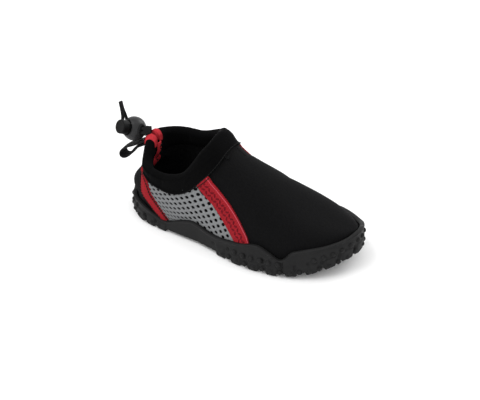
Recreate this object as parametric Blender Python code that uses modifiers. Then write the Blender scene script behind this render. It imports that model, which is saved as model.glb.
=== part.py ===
"""Child's slip-on water shoe for the right foot, as separate pieces at their real size.

A neoprene upper with a padded collar stands in a moulded rubber outsole. Red tapes and open mesh
panels lie on its sides. An elastic drawcord leaves the collar at the heel through a ball cord lock,
whose push button slides, and a webbing loop stands out behind.

Metres, +X to the toe, +Y to the inner (big toe) side, +Z up. Everything is modelled from the back
of the heel and then moved so that the origin is under the middle of the shoe.
"""

import math
from collections import namedtuple

import bmesh
import bpy
from mathutils import Matrix, Vector

# The shoe's own sizes
LAST_LENGTH = 0.165
BALL_WIDTH = 0.068
INSTEP_HEIGHT = 0.062
WALL = 0.0025
GAP = 0.0003
OUTER, INNER = -1, 1

# Heel and toe of the last
HEEL_ROUND = 0.027
TOE_ROUND = 0.044
TOE_DROP = 0.030
TOE_TOP = 0.0275
TOE_SPRING = 0.0108
HEEL_SET_BACK = 0.0065
COUNTER_SWELL = 0.0040
COUNTER_FOOT = 0.0150
COUNTER_RISE = 0.0055
COUNTER_TOP = 0.0215
COUNTER_BLEND = 0.0125

# Outsole
SOLE_WALL = 0.0028
SOLE_CLEARANCE = 0.0005
LEAN_SHARE = 0.30
LEAN_LIMIT = 0.0040
TOE_LIFT = 0.75
SOLE_BODY = 0.0047
LUG_HEIGHT = 0.0019
LUG_LENGTH = 0.0058
LUGS = (
    (0.0, 1), (0.048, 1), (0.096, 2), (0.144, 1), (0.192, 2), (0.240, 1),
    (0.500, 2), (0.565, 1), (0.630, 2), (0.695, 1), (0.760, 2), (0.825, 1), (0.885, 1), (0.945, 1),
    (1.0, 1),
)
ARCH_STATIONS = (0.265, 0.290, 0.330, 0.370, 0.410, 0.450)
LUG_STEP = 0.0005
LUG_REACH = 0.0075
LUG_PROUD = 0.0006
RIB_TOP = 0.0085
EDGE_ROUND = 0.0014
SIDE_HEIGHT = 0.0200
LIP_HEIGHT = 0.0014
RIM_STEP = 0.0014
LIP_PROUD = 0.0007
RIB_STEP = 0.0006
SOLE_BORDER = 0.0090

# Insole
INSOLE_THICKNESS = 0.0032
INSOLE_LIFT = 0.0007
INSOLE_CLEARANCE = 0.0005
INSOLE_ROUND = 0.0010
INSOLE_FILLET = 0.0008
INSOLE_BORDER = 0.0080

# Collar
SEAM_FRONT = 0.0715
TOP_FRONT = 0.0615
ROLL_RADIUS = 0.0035
COLLAR_BULGE = 0.0010
NOTCH_HALF = 0.0085
NOTCH_LEVEL = 0.56
SEAM_GAP_LEVEL = 0.035
END_GAP_HALF = 0.0008
BINDING_PUFF = 0.0006

# Side panels and tapes
MESH_THICKNESS = 0.0010
RIBBON_THICKNESS = 0.0013
PIPING_THICKNESS = 0.0018
RIM_GAP = 0.0007
SEAM_GAP = 0.0004
HEEL_TAPE_WIDTH = 0.0052
TAPE_END_LEVEL = 0.10
HEEL_TAPE_THICKNESS = 0.0008
TAPE_GAP = 0.0005

# Drawcord and cord lock
CORD_DIAMETER = 0.0024
BALL_RADIUS = 0.0086
CORD_SPACING = 0.0029
LOCK_CENTRE = Vector((-0.0074, 0.0010, 0.0540))
LOCK_HOLE = Vector((0.842, -0.432, 0.324))
LOCK_BUTTON = Vector((-0.356, -0.815, 0.460))
BUTTON_RADIUS = 0.0050
BUTTON_END = 0.0133
BUTTON_FOOT = 0.0032
BUTTON_TRAVEL = 0.0025
CORD_EXITS = {"outer": (0.0056, -0.0014, 0.0564), "inner": (0.0060, 0.0020, 0.0577)}
CORD_TAILS = {
    "outer": (
        (-0.0174, 0.0034, 0.0500), (-0.0189, 0.0028, 0.0527), (-0.0184, 0.0034, 0.0585),
        (-0.0192, 0.0039, 0.0640), (-0.0204, 0.0041, 0.0700),
    ),
    "inner": (
        (-0.0170, 0.0066, 0.0537), (-0.0184, 0.0078, 0.0554), (-0.0194, 0.0076, 0.0588),
        (-0.0206, 0.0072, 0.0628), (-0.0220, 0.0073, 0.0683),
    ),
}
BORE_CLEARANCE = 0.0003
HOLE_CLEARANCE = 0.0003

# Pull loop
LOOP_WIDTH = 0.0095
LOOP_THICKNESS = 0.0013
LOOP_KNOTS = (
    (0.0046, 0.0500), (0.0015, 0.0482), (-0.0024, 0.0459), (-0.0102, 0.0409), (-0.0150, 0.0370),
    (-0.0171, 0.0335), (-0.0165, 0.0308), (-0.0138, 0.0308), (-0.0080, 0.0350), (-0.0018, 0.0401),
    (0.0044, 0.0453),
)

Section = namedtuple("Section", "share middle half ridge square")
SECTIONS = (
    Section(0.00, 0.004, 0.364, 1.40, 2.4),
    Section(0.12, 0.006, 0.374, 1.40, 2.4),
    Section(0.25, -0.010, 0.390, 1.38, 2.4),
    Section(0.38, -0.019, 0.402, 1.170, 2.3),
    Section(0.42, -0.022, 0.415, 1.045, 2.3),
    Section(0.46, -0.024, 0.431, 0.975, 2.2),
    Section(0.50, -0.025, 0.449, 0.93, 2.2),
    Section(0.62, -0.021, 0.496, 0.79, 2.2),
    Section(0.72, 0.005, 0.504, 0.650, 2.4),
    Section(0.82, 0.023, 0.480, 0.530, 2.8),
    Section(0.92, 0.037, 0.427, 0.465, 3.2),
    Section(1.00, 0.059, 0.368, 0.445, 3.4),
)

# Rise of the sole's underside off the floor, in toe springs, by share of length
Rise = namedtuple("Rise", "share height")
RISES = (
    Rise(0.00, 0.185),
    Rise(0.05, 0.056),
    Rise(0.10, 0.000),
    Rise(0.74, 0.000),
    Rise(0.82, 0.111),
    Rise(0.90, 0.370),
    Rise(0.96, 0.685),
    Rise(1.00, 1.000),
)

# Heights of the sole's top edge above the floor, in side heights, by share of length
Rim = namedtuple("Rim", "share outer inner")
RIMS = (
    Rim(0.00, 0.620, 0.620),
    Rim(0.08, 0.690, 0.690),
    Rim(0.13, 0.600, 0.600),
    Rim(0.205, 0.425, 0.425),
    Rim(0.30, 0.725, 0.725),
    Rim(0.35, 0.850, 0.850),
    Rim(0.47, 0.715, 0.715),
    Rim(0.58, 0.850, 0.850),
    Rim(0.67, 1.000, 1.000),
    Rim(0.735, 0.825, 0.825),
    Rim(0.775, 0.665, 0.665),
    Rim(0.82, 1.000, 0.890),
    Rim(0.94, 1.200, 1.060),
    Rim(0.99, 1.325, 1.275),
    Rim(1.00, 1.425, 1.425),
)

# Collar heights above the floor, as shares of the ridge's height where each line crosses it, by the
# way round from the heel, 0, to the collar's front
Edge = namedtuple("Edge", "way seam_outer seam_inner top_outer top_inner")
EDGES = (
    Edge(0.00, 0.579, 0.579, 0.769, 0.769),
    Edge(0.07, 0.577, 0.580, 0.728, 0.765),
    Edge(0.10, 0.574, 0.583, 0.667, 0.762),
    Edge(0.14, 0.571, 0.586, 0.605, 0.755),
    Edge(0.19, 0.564, 0.594, 0.578, 0.748),
    Edge(0.27, 0.550, 0.610, 0.569, 0.739),
    Edge(0.37, 0.510, 0.626, 0.571, 0.735),
    Edge(0.50, 0.493, 0.642, 0.582, 0.744),
    Edge(0.58, 0.520, 0.666, 0.612, 0.773),
    Edge(0.67, 0.602, 0.721, 0.671, 0.823),
    Edge(0.77, 0.745, 0.808, 0.803, 0.891),
    Edge(0.86, 0.856, 0.880, 0.925, 0.959),
)

# Distances from the heel of the side's lines, as shares of the seam's front, by share of the way up
# from the sole to the line's own top end at the collar
SideLine = namedtuple("SideLine", "share rear behind ahead front")
SIDE_LINES = (
    SideLine(0.00, 0.443, 0.539, 1.325, 1.468),
    SideLine(0.06, 0.374, 0.522, 1.304, 1.457),
    SideLine(0.12, 0.321, 0.503, 1.284, 1.445),
    SideLine(0.20, 0.282, 0.473, 1.258, 1.421),
    SideLine(0.30, 0.254, 0.431, 1.222, 1.385),
    SideLine(0.40, 0.219, 0.396, 1.181, 1.344),
    SideLine(0.50, 0.197, 0.348, 1.135, 1.293),
    SideLine(0.60, 0.170, 0.310, 1.082, 1.234),
    SideLine(0.70, 0.131, 0.271, 1.020, 1.162),
    SideLine(0.80, 0.088, 0.223, 0.945, 1.071),
    SideLine(0.90, 0.073, 0.164, 0.882, 0.988),
    SideLine(1.00, 0.069, 0.098, 0.832, 0.926),
)


def blend(a, b, t):
    return a + (b - a) * t


def smooth(t):
    t = min(1.0, max(0.0, t))
    return t * t * (3 - 2 * t)


def through(knots, x):
    """A smooth curve through (x, value) knots, without overshoot at a knot that is a peak."""
    if x <= knots[0][0]:
        return knots[0][1]
    if x >= knots[-1][0]:
        return knots[-1][1]
    last = len(knots) - 1
    i = max(k for k in range(last) if knots[k][0] <= x)
    slopes = [(knots[k + 1][1] - knots[k][1]) / (knots[k + 1][0] - knots[k][0]) for k in range(last)]

    def tangent(k):
        if k in (0, last):
            return slopes[0 if k == 0 else -1]
        before, after = slopes[k - 1], slopes[k]
        return 0.0 if before * after <= 0 else 2 * before * after / (before + after)

    (x0, y0), (x1, y1) = knots[i], knots[i + 1]
    width = x1 - x0
    t = (x - x0) / width
    rise = y0 * (1 + 2 * t) * (1 - t) ** 2 + y1 * t * t * (3 - 2 * t)
    return rise + width * (tangent(i) * t * (1 - t) ** 2 - tangent(i + 1) * t * t * (1 - t))


def column(table, name, share):
    return through([(row.share, getattr(row, name)) for row in table], share)


def rounded(distance, radius, power=2.2):
    """From 0 at an end to 1 one radius in, along a superelliptic quarter."""
    if distance >= radius:
        return 1.0
    return max(0.0, 1 - (1 - max(0.0, distance) / radius) ** power) ** (1 / power)


def last_middle(x):
    return BALL_WIDTH * column(SECTIONS, "middle", x / LAST_LENGTH)


def last_half(x):
    body = BALL_WIDTH * column(SECTIONS, "half", x / LAST_LENGTH)
    return body * rounded(x, HEEL_ROUND) * rounded(LAST_LENGTH - x, TOE_ROUND)


def underside(x):
    """Height of the lugs' lower ends, which lie on the floor under heel and forefoot."""
    return TOE_SPRING * column(RISES, "height", x / LAST_LENGTH)


def footbed(x):
    """Height of the sole's inside floor, which lifts less at the toe than the underside."""
    return underside(x) * TOE_LIFT + LUG_HEIGHT + SOLE_BODY


def last_base(x):
    return footbed(x) + GAP


def last_ridge(x):
    body = INSTEP_HEIGHT * column(SECTIONS, "ridge", x / LAST_LENGTH)
    return TOE_TOP + max(0.0, body - TOE_TOP) * rounded(LAST_LENGTH - x, TOE_DROP, 2.0)


def station(x):
    """The angle whose cosine spacing reaches x: stations crowd where heel and toe turn."""
    return math.acos(max(-1.0, min(1.0, 1 - 2 * x / LAST_LENGTH)))


def along_last(turn):
    """The distance from the heel that a station's angle stands for."""
    return LAST_LENGTH * (1 - math.cos(turn)) / 2


def steepness(x, z):
    """The angle round the section at which the skin at x is z high."""
    base = last_base(x)
    power = column(SECTIONS, "square", x / LAST_LENGTH)
    part = max(0.0, min(1.0, (z - base) / (last_ridge(x) - base)))
    return math.asin(part ** (power / 2))


def heel_lean(x, z):
    """How far the heel stands forward of its outline: set back above the counter, swelled at it."""
    near = max(0.0, 1 - x / (2 * HEEL_ROUND)) ** 2
    above = smooth((z - COUNTER_TOP) / COUNTER_BLEND)
    swell = COUNTER_SWELL * smooth((z - COUNTER_FOOT) / COUNTER_RISE) * (1 - above)
    return (HEEL_SET_BACK * above - swell) * near


def last_point(turn, angle, side):
    """The upper's outer skin. turn runs from heel 0 to toe pi, angle from feather edge 0 to ridge."""
    if turn < 0:
        turn, side = -turn, -side
    if turn > math.pi:
        turn, side = 2 * math.pi - turn, -side
    x = along_last(turn)
    power = 2 / column(SECTIONS, "square", x / LAST_LENGTH)
    across = math.copysign(abs(math.cos(angle)) ** power, math.cos(angle))
    base = last_base(x)
    z = base + (last_ridge(x) - base) * max(0.0, math.sin(angle)) ** power
    y = last_middle(x) + side * last_half(x) * across
    return Vector((x + heel_lean(x, z), y, z))


def skin(x, z, side, proud=0.0, angle=None):
    """A point on the upper's outer skin, or proud of it along the normal."""
    turn = station(x)
    angle = steepness(x, z) if angle is None else angle
    here = last_point(turn, angle, side)
    if not proud:
        return here
    step = 0.02
    along = last_point(turn + step, angle, side) - last_point(turn - step, angle, side)
    low = max(0.0, angle - step)
    up = last_point(turn, angle + step, side) - last_point(turn, low, side)
    normal = along.cross(up).normalized() * -side
    return here + normal * proud


def mesh_object(name, points, faces, material, smooth_angle=None):
    mesh = bpy.data.meshes.new(name)
    mesh.from_pydata([tuple(p) for p in points], [], faces)
    shape = bmesh.new()
    shape.from_mesh(mesh)
    bmesh.ops.remove_doubles(shape, verts=shape.verts, dist=1e-6)
    bmesh.ops.dissolve_degenerate(shape, edges=shape.edges, dist=1e-6)
    bmesh.ops.recalc_face_normals(shape, faces=shape.faces)
    shape.to_mesh(mesh)
    shape.free()
    return add_object(name, mesh, material, smooth_angle)


def add_object(name, mesh, material, smooth_angle=None):
    made = bpy.data.objects.new(name, mesh)
    SHOE.objects.link(made)
    mesh.materials.clear()
    mesh.materials.append(material)
    if smooth_angle is not None:
        mesh.shade_smooth()
        mesh.set_sharp_from_angle(angle=math.radians(smooth_angle))
    return made


def ring_faces(rings, size, closed):
    """Quads between neighbouring rings of the same size."""
    faces = []
    for r in range(rings if closed else rings - 1):
        a, b = r * size, (r + 1) % rings * size
        for k in range(size):
            n = (k + 1) % size
            faces.append((a + k, b + k, b + n, a + n))
    return faces


def grid_faces(rows, columns, start=0):
    faces = []
    for r in range(rows - 1):
        for c in range(columns - 1):
            a = start + r * columns + c
            faces.append((a, a + columns, a + columns + 1, a + 1))
    return faces


def solidify(made, thickness, offset=-1.0):
    shell = made.modifiers.new("wall", "SOLIDIFY")
    shell.thickness = thickness
    shell.offset = offset
    shell.use_even_offset = True
    shell.use_rim = True
    return shell


def fabric(name, colour, roughness, metallic=0.0):
    material = bpy.data.materials.new(name)
    material.use_nodes = True
    shader = material.node_tree.nodes["Principled BSDF"]
    shader.inputs["Base Color"].default_value = (*colour, 1.0)
    shader.inputs["Roughness"].default_value = roughness
    shader.inputs["Metallic"].default_value = metallic
    material.diffuse_color = (*colour, 1.0)
    return material


def edge_front(level):
    """Where a line round the collar crosses the ridge. Level 0 is the seam and 1 the top."""
    return blend(SEAM_FRONT, TOP_FRONT, level)


def edge_height(level, way, side):
    word = "outer" if side == OUTER else "inner"
    seam_ridge, top_ridge = last_ridge(SEAM_FRONT), last_ridge(TOP_FRONT)
    knots = []
    for e in EDGES:
        seam, top = seam_ridge * getattr(e, "seam_" + word), top_ridge * getattr(e, "top_" + word)
        knots.append((e.way, blend(seam, top, level)))
    return through(knots + [(1.0, last_ridge(edge_front(level)))], way)


def edge_place(level, way, side):
    """(x, angle) on the skin of a line round the collar, from the heel, way 0, to its front, way 1."""
    front = edge_front(level)
    x = front * (1 - math.cos(math.pi * way)) / 2
    if way >= 1:
        return front, math.pi / 2
    return x, steepness(x, edge_height(level, way, side))


def edge_point(level, way, side, proud=0.0):
    x, angle = edge_place(level, way, side)
    return skin(x, 0.0, side, proud, angle)


def seam_height(x, side):
    """Height of the collar's seam above x, or the ridge in front of it."""
    if x >= SEAM_FRONT:
        return last_ridge(x)
    return edge_height(0.0, math.acos(1 - 2 * x / SEAM_FRONT) / math.pi, side)


def rim_height(x, side):
    """Height of the sole's top edge, which always stands over its inside floor."""
    word = "outer" if side == OUTER else "inner"
    return max(SIDE_HEIGHT * column(RIMS, word, x / LAST_LENGTH), footbed(x) + RIM_STEP)


def build_upper(material):
    """One hollow neoprene shell, open at the collar seam above and at the sole underneath."""
    open_ways = [k / 14 for k in range(15)]
    ahead = [math.sin(math.pi / 2 * k / 16) for k in range(1, 17)]
    rows = [0.0, 0.10, 0.20, 0.31, 0.42, 0.53, 0.64, 0.74, 0.83, 0.92, 1.0]
    points = []
    for side in (OUTER, INNER):
        stations = [edge_place(0.0, way, side) for way in open_ways]
        stations += [(blend(SEAM_FRONT, LAST_LENGTH, share), math.pi / 2) for share in ahead]
        for x, top in stations:
            points += [skin(x, 0.0, side, angle=top * row) for row in rows]
    half = len(stations) * len(rows)
    faces = grid_faces(len(stations), len(rows)) + grid_faces(len(stations), len(rows), half)
    upper = mesh_object("upper", points, faces, material, 40)
    turn_outward(upper)
    solidify(upper, WALL)
    return upper


def turn_outward(made):
    """An open skin's normals can all point in: turns them away from the shoe's inside."""
    inside = Vector((0.6 * LAST_LENGTH, 0.0, 0.3 * INSTEP_HEIGHT))
    mesh = made.data
    facing = sum((p.center - inside).dot(p.normal) * p.area for p in mesh.polygons)
    if facing < 0:
        mesh.flip_normals()


def plan_curve(side):
    """The last's plan outline on one side as fine points from heel to toe, and the length to each."""
    fine = []
    for k in range(361):
        x = LAST_LENGTH * (1 - math.cos(math.pi * k / 360)) / 2
        fine.append(Vector((x, last_middle(x) + side * last_half(x))))
    lengths = [0.0]
    for a, b in zip(fine, fine[1:]):
        lengths.append(lengths[-1] + (b - a).length)
    return fine, lengths


def outline(side, shares):
    """Points of the last's plan outline, from heel to toe, at shares of that side's length."""
    fine, lengths = plan_curve(side)
    found = []
    for share in shares:
        target = share * lengths[-1]
        k = max(i for i in range(len(fine) - 1) if lengths[i] <= target or i == 0)
        part = (target - lengths[k]) / max(1e-9, lengths[k + 1] - lengths[k])
        found.append(fine[k].lerp(fine[k + 1], min(1.0, part)))
    return found


def lug_stations():
    """(share of a side, tread) in order: 0 between lugs, 1 in a short lug, 2 in one right across."""
    side_length = plan_curve(OUTER)[1][-1]
    step = LUG_STEP / side_length
    half = LUG_LENGTH / 2 / side_length
    marks = [(share, 0) for share in ARCH_STATIONS]
    for centre, tread in LUGS:
        marks += [(centre - half - step, 0), (centre - half, tread), (centre, tread)]
        marks += [(centre + half, tread), (centre + half + step, 0)]
    return sorted((share, tread) for share, tread in marks if -1e-9 <= share <= 1 + 1e-9)


def lean(x, z):
    """How far the skin at height z stands inside the last's plan outline, across the shoe."""
    across = math.cos(steepness(x, z)) ** (2 / column(SECTIONS, "square", x / LAST_LENGTH))
    half = last_half(x)
    return min(half * (1 - across), half * LEAN_SHARE, LEAN_LIMIT)


def sole_ring(x, side, tread, facing):
    """(offset from the last's outline, height over the underside) up outside and down inside.

    facing is how far the outline's normal points across the shoe, from 0 at the toe's tip to 1."""
    low = underside(x)
    foot = 0.0 if tread else LUG_HEIGHT
    proud = LUG_PROUD if tread else 0.0
    face = SOLE_CLEARANCE + SOLE_WALL
    floor = footbed(x) - low
    rim = rim_height(x, side) - low
    rib = min(RIB_TOP, rim - LIP_HEIGHT - RIB_STEP)
    middle = blend(floor, rim, 0.55)

    def at(offset, height):
        return offset - lean(x, low + height) * facing, height

    return (
        (-LUG_REACH - LUG_STEP, 0.0 if tread == 2 else LUG_HEIGHT),
        (-LUG_REACH, foot),
        (face + proud - EDGE_ROUND, foot),
        at(face + proud, foot + EDGE_ROUND),
        at(face + proud, rib - RIB_STEP),
        at(face, rib),
        at(face, rim - LIP_HEIGHT),
        at(face + LIP_PROUD, rim - LIP_HEIGHT * 0.7),
        at(face + LIP_PROUD * 0.6, rim),
        at(SOLE_CLEARANCE, rim),
        at(SOLE_CLEARANCE, middle),
        (SOLE_CLEARANCE, blend(floor, rim, 0.2)),
        (SOLE_CLEARANCE, floor),
        (-SOLE_BORDER, None),
    )


def build_outsole(material):
    """Rubber tray: lugged bottom, ribbed wall with a lip, and a wavy top edge round the upper."""
    marks = lug_stations()
    shares = [share for share, _ in marks]
    sides = {side: outline(side, shares) for side in (OUTER, INNER)}
    last = len(marks) - 1
    loop = [(k, OUTER) for k in range(last + 1)] + [(k, INNER) for k in range(last - 1, 0, -1)]
    plan = [sides[side][k] for k, side in loop]
    points = []
    size = len(sole_ring(0.0, OUTER, 0, 0.0))
    for n, (k, side) in enumerate(loop):
        tangent = (plan[(n + 1) % len(plan)] - plan[n - 1]).normalized()
        outward = Vector((tangent.y, -tangent.x))
        for offset, height in sole_ring(plan[n].x, side, marks[k][1], abs(outward.y)):
            spot = plan[n] + outward * offset
            height = footbed(spot.x) if height is None else underside(spot.x) + height
            points.append((spot.x, spot.y, height))
    faces = []
    for n in range(len(loop)):
        a, b = n * size, (n + 1) % len(loop) * size
        faces += [(a + r, b + r, b + r + 1, a + r + 1) for r in range(size - 1)]
    faces += crossing_strips(last, size, (0, size - 1))
    return mesh_object("outsole", points, faces, material, 35)


def hide_cutter(made):
    """Moves a Boolean's helper out of the shoe."""
    SHOE.objects.unlink(made)
    CUTTERS.objects.link(made)
    made.hide_render = True
    made.display_type = "WIRE"
    return made


def build_insole(material):
    """Foam footbed lying on the sole's floor, inside the upper's wall."""
    count = 22
    inset = WALL + INSOLE_CLEARANCE
    sides = {side: outline(side, [k / count for k in range(count + 1)]) for side in (OUTER, INNER)}
    plan = sides[OUTER] + sides[INNER][-2:0:-1]
    levels = (
        (inset + INSOLE_ROUND, INSOLE_LIFT),
        (inset, INSOLE_LIFT + INSOLE_FILLET),
        (inset, INSOLE_THICKNESS - INSOLE_FILLET),
        (inset + INSOLE_ROUND, INSOLE_THICKNESS),
        (INSOLE_BORDER, INSOLE_THICKNESS),
    )
    points = []
    for n, spot in enumerate(plan):
        tangent = (plan[(n + 1) % len(plan)] - plan[n - 1]).normalized()
        inward = Vector((-tangent.y, tangent.x))
        for offset, height in levels:
            place = spot + inward * offset
            points.append((place.x, place.y, footbed(place.x) + height))
    size = len(levels)
    faces = []
    for n in range(len(plan)):
        a, b = n * size, (n + 1) % len(plan) * size
        faces += [(a + r, b + r, b + r + 1, a + r + 1) for r in range(size - 1)]
    faces += crossing_strips(count, size, (0, size - 1))
    return mesh_object("insole", points, faces, material, 35)


def crossing_strips(last, size, rows):
    """Faces from the outer to the inner side across a ring of 2 * last stations, at the rows given."""
    faces = []
    for row in rows:
        for k in range(last):
            inner_a = 0 if k == 0 else 2 * last - k
            inner_b = last if k + 1 == last else 2 * last - k - 1
            corners = [k, k + 1, inner_b, inner_a]
            unique = [c for i, c in enumerate(corners) if c not in corners[:i]]
            faces.append([c * size + row for c in unique])
    return faces


def way_at(level, y):
    """How far round a collar line, from the heel, its distance from the middle reaches y."""
    low, high = 0.0, 0.5
    for _ in range(40):
        way = (low + high) / 2
        if abs(edge_point(level, way, INNER).y) < y:
            low = way
        else:
            high = way
    return low


def band_point(level, way, side, proud):
    """A point of the collar band: level 0 at its seam, 1 at its top; proud of the last's skin."""
    return edge_point(level, way, side, proud)


def band_depth(level):
    """Depth of the band's inside under the last's skin, from the wall at its seam to the roll."""
    inside = 2 * ROLL_RADIUS - COLLAR_BULGE
    return through(((0.02, WALL), (0.2, blend(WALL, inside, 0.65)), (0.4, inside)), level)


def band_section(way, side, low, high, puff, turns=6):
    """Section of the padded band from the low level up the outside, over the top, down the inside."""
    radius = ROLL_RADIUS + puff
    outer = [(low, 0.25), (0.25, 0.7), (0.5, 1.0), (0.72, 1.0)]
    points = [band_point(blend(low, high, l), way, side, COLLAR_BULGE * b + puff) for l, b in outer[1:]]
    points.insert(0, band_point(low, way, side, puff if low > 0.3 else 0.0))
    top = band_point(high, way, side, 0.0)
    below = band_point(high - 0.12, way, side, 0.0)
    up = (top - below).normalized()
    normal = (band_point(high, way, side, 0.001) - top).normalized()
    centre = top + normal * (COLLAR_BULGE - ROLL_RADIUS) - up * ROLL_RADIUS
    for k in range(turns + 1):
        turn = math.pi * k / turns
        points.append(centre + normal * radius * math.cos(turn) + up * radius * math.sin(turn))
    for part in (0.6, 0.3, 0.0):
        level = blend(low, high, part)
        points.append(band_point(level, way, side, -band_depth(level) - puff))
    return points


def cut_section(way, side, low, high):
    """The band's section where its top is cut off at the high level for the end bindings."""
    whole = band_section(way, side, low, 1.0, 0.0)
    inside = 2 * ROLL_RADIUS - COLLAR_BULGE
    count = len(whole)
    outer = [(low, 0.0), (blend(low, high, 0.4), COLLAR_BULGE), (blend(low, high, 0.8), COLLAR_BULGE)]
    outer += [(high, COLLAR_BULGE)]
    inner = [(level, -band_depth(level)) for level in (high, 0.4, 0.2, low)]
    across = count - len(outer) - len(inner)
    points = [band_point(level, way, side, proud) for level, proud in outer]
    for k in range(1, across + 1):
        points.append(band_point(high, way, side, blend(COLLAR_BULGE, -inside, k / (across + 1))))
    return points + [band_point(level, way, side, proud) for level, proud in inner]


def build_collar(material):
    """Padded band round the mouth, notched at the centre back for its two end bindings."""
    notch = way_at(NOTCH_LEVEL, NOTCH_HALF)
    ways = [blend(0.0, notch, k / 3) for k in range(4)]
    ways += [notch + 0.012] + [blend(notch + 0.012, 1.0, k / 17) for k in range(1, 18)]
    loop = [(way, OUTER) for way in ways] + [(way, INNER) for way in ways[-2:0:-1]]
    points = []
    for way, side in loop:
        if way <= notch:
            points += cut_section(way, side, SEAM_GAP_LEVEL, NOTCH_LEVEL)
        else:
            points += band_section(way, side, SEAM_GAP_LEVEL, 1.0, 0.0)
    size = len(points) // len(loop)
    return mesh_object("collar", points, ring_faces(len(loop), size, True), material, 50)


def build_end_binding(name, side, material):
    """Red cap over one end of the collar's roll, beside the slit at the centre back."""
    start = way_at(0.8, END_GAP_HALF)
    end = way_at(NOTCH_LEVEL, NOTCH_HALF - 0.0006)
    ways = [blend(start, end, k / 4) for k in range(5)]
    points = []
    for way in ways:
        points += band_section(way, side, NOTCH_LEVEL + 0.03, 1.0, BINDING_PUFF)
    size = len(points) // len(ways)
    faces = ring_faces(len(ways), size, False)
    faces += [tuple(range(size)), tuple(range(len(points) - size, len(points)))]
    return mesh_object(name, points, faces, material, 50)


def side_patch(name, side, rear, front, columns, rows, heights, material):
    """A closed patch on the upper's side between the sole's rim and the collar's seam.

    rear and front give the turn of its two edges by share of the height, and heights holds its
    thickness over the skin at shares of its width."""
    points = []
    for under in (False, True):
        for c in range(columns + 1):
            u = c / columns
            high = seam_height(along_last(blend(rear(1.0), front(1.0), u)), side) - SEAM_GAP
            for r in range(rows + 1):
                v = r / rows
                x = along_last(blend(rear(v), front(v), u))
                z = blend(rim_height(x, side) + RIM_GAP, high, v)
                proud = GAP if under else GAP + through(heights, u)
                points.append(skin(x, z, side, proud))
    layer = (columns + 1) * (rows + 1)
    faces = grid_faces(columns + 1, rows + 1) + grid_faces(columns + 1, rows + 1, layer)
    rim = [(c, 0) for c in range(columns)] + [(columns, r) for r in range(rows)]
    rim += [(c, rows) for c in range(columns, 0, -1)] + [(0, r) for r in range(rows, 0, -1)]
    around = [c * (rows + 1) + r for c, r in rim]
    for a, b in zip(around, around[1:] + around[:1]):
        faces.append((a, b, b + layer, a + layer))
    return mesh_object(name, points, faces, material, 45)


def edge_curve(name):
    """A side edge as turn by share of height, from the SIDE_LINES table."""
    knots = [(row.share, getattr(row, name) * SEAM_FRONT) for row in SIDE_LINES]
    return lambda v: station(through(knots, v))


def build_side(side, mesh_material, tape_material):
    word = "outer" if side == OUTER else "inner"
    flat = ((0.0, MESH_THICKNESS), (1.0, MESH_THICKNESS))
    ribbon = ((0.0, 0.0009), (0.12, RIBBON_THICKNESS), (0.88, RIBBON_THICKNESS), (1.0, 0.0009))
    piping = ((0.0, 0.0008), (0.5, PIPING_THICKNESS), (1.0, 0.0008))
    rear, behind, ahead, front = (edge_curve(n) for n in ("rear", "behind", "ahead", "front"))
    slim = 0.0004 / LAST_LENGTH * 2
    side_patch(f"rear_piping_{word}", side, rear, behind, 2, 12, piping, tape_material)
    side_patch(
        f"mesh_panel_{word}", side, lambda v: behind(v) + 3 * slim, lambda v: ahead(v) - 3 * slim,
        8, 8, flat, mesh_material,
    )
    side_patch(f"front_ribbon_{word}", side, ahead, front, 4, 10, ribbon, tape_material)


def build_heel_tape(material):
    """Red tape over the heel's back seam, down the inside of the collar."""
    rows = 6
    centre = []
    for k in range(rows + 1):
        level = blend(NOTCH_LEVEL - 0.04, TAPE_END_LEVEL, k / rows)
        spot = band_point(level, 0.0, OUTER, -band_depth(level) - TAPE_GAP)
        centre.append((spot.x, spot.z))
    points = []
    for depth in (0.0, HEEL_TAPE_THICKNESS):
        for x, z in centre:
            for y in (-1, -0.5, 0.5, 1):
                dish = 0.0006 if abs(y) == 1 else 0.0
                points.append((x + depth + dish, y * HEEL_TAPE_WIDTH / 2, z))
    layer = (rows + 1) * 4
    faces = grid_faces(rows + 1, 4) + grid_faces(rows + 1, 4, layer)
    around = [(0, c) for c in range(3)] + [(r, 3) for r in range(rows)]
    around += [(rows, c) for c in range(3, 0, -1)] + [(r, 0) for r in range(rows, 0, -1)]
    around = [r * 4 + c for r, c in around]
    for a, b in zip(around, around[1:] + around[:1]):
        faces.append((a, b, b + layer, a + layer))
    return mesh_object("heel_seam_tape", points, faces, material, 40)


def cord_run(name, path, material):
    """A round cord along a path of points, with flat ends."""
    data = bpy.data.curves.new(name, "CURVE")
    data.dimensions = "3D"
    data.bevel_depth = CORD_DIAMETER / 2
    data.bevel_resolution = 2
    data.use_fill_caps = True
    spline = data.splines.new("POLY")
    spline.points.add(len(path) - 1)
    for point, spot in zip(spline.points, path):
        point.co = (*spot, 1.0)
    made = bpy.data.objects.new(name, data)
    SHOE.objects.link(made)
    data.materials.append(material)
    return made


def strap(name, path, width, thickness, material):
    """A flat webbing along a path in the XZ plane, its width along Y."""
    points = []
    for n, (x, z) in enumerate(path):
        a, b = path[max(0, n - 1)], path[min(len(path) - 1, n + 1)]
        along = Vector((b[0] - a[0], b[1] - a[1])).normalized()
        across = Vector((-along.y, along.x)) * thickness / 2
        for side, y in ((1, -1), (1, 1), (-1, 1), (-1, -1)):
            points.append((x + across.x * side, y * width / 2, z + across.y * side))
    faces = ring_faces(len(path), 4, False)
    faces += [(0, 1, 2, 3), tuple(range(len(points) - 4, len(points)))]
    return mesh_object(name, points, faces, material, 30)


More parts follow.
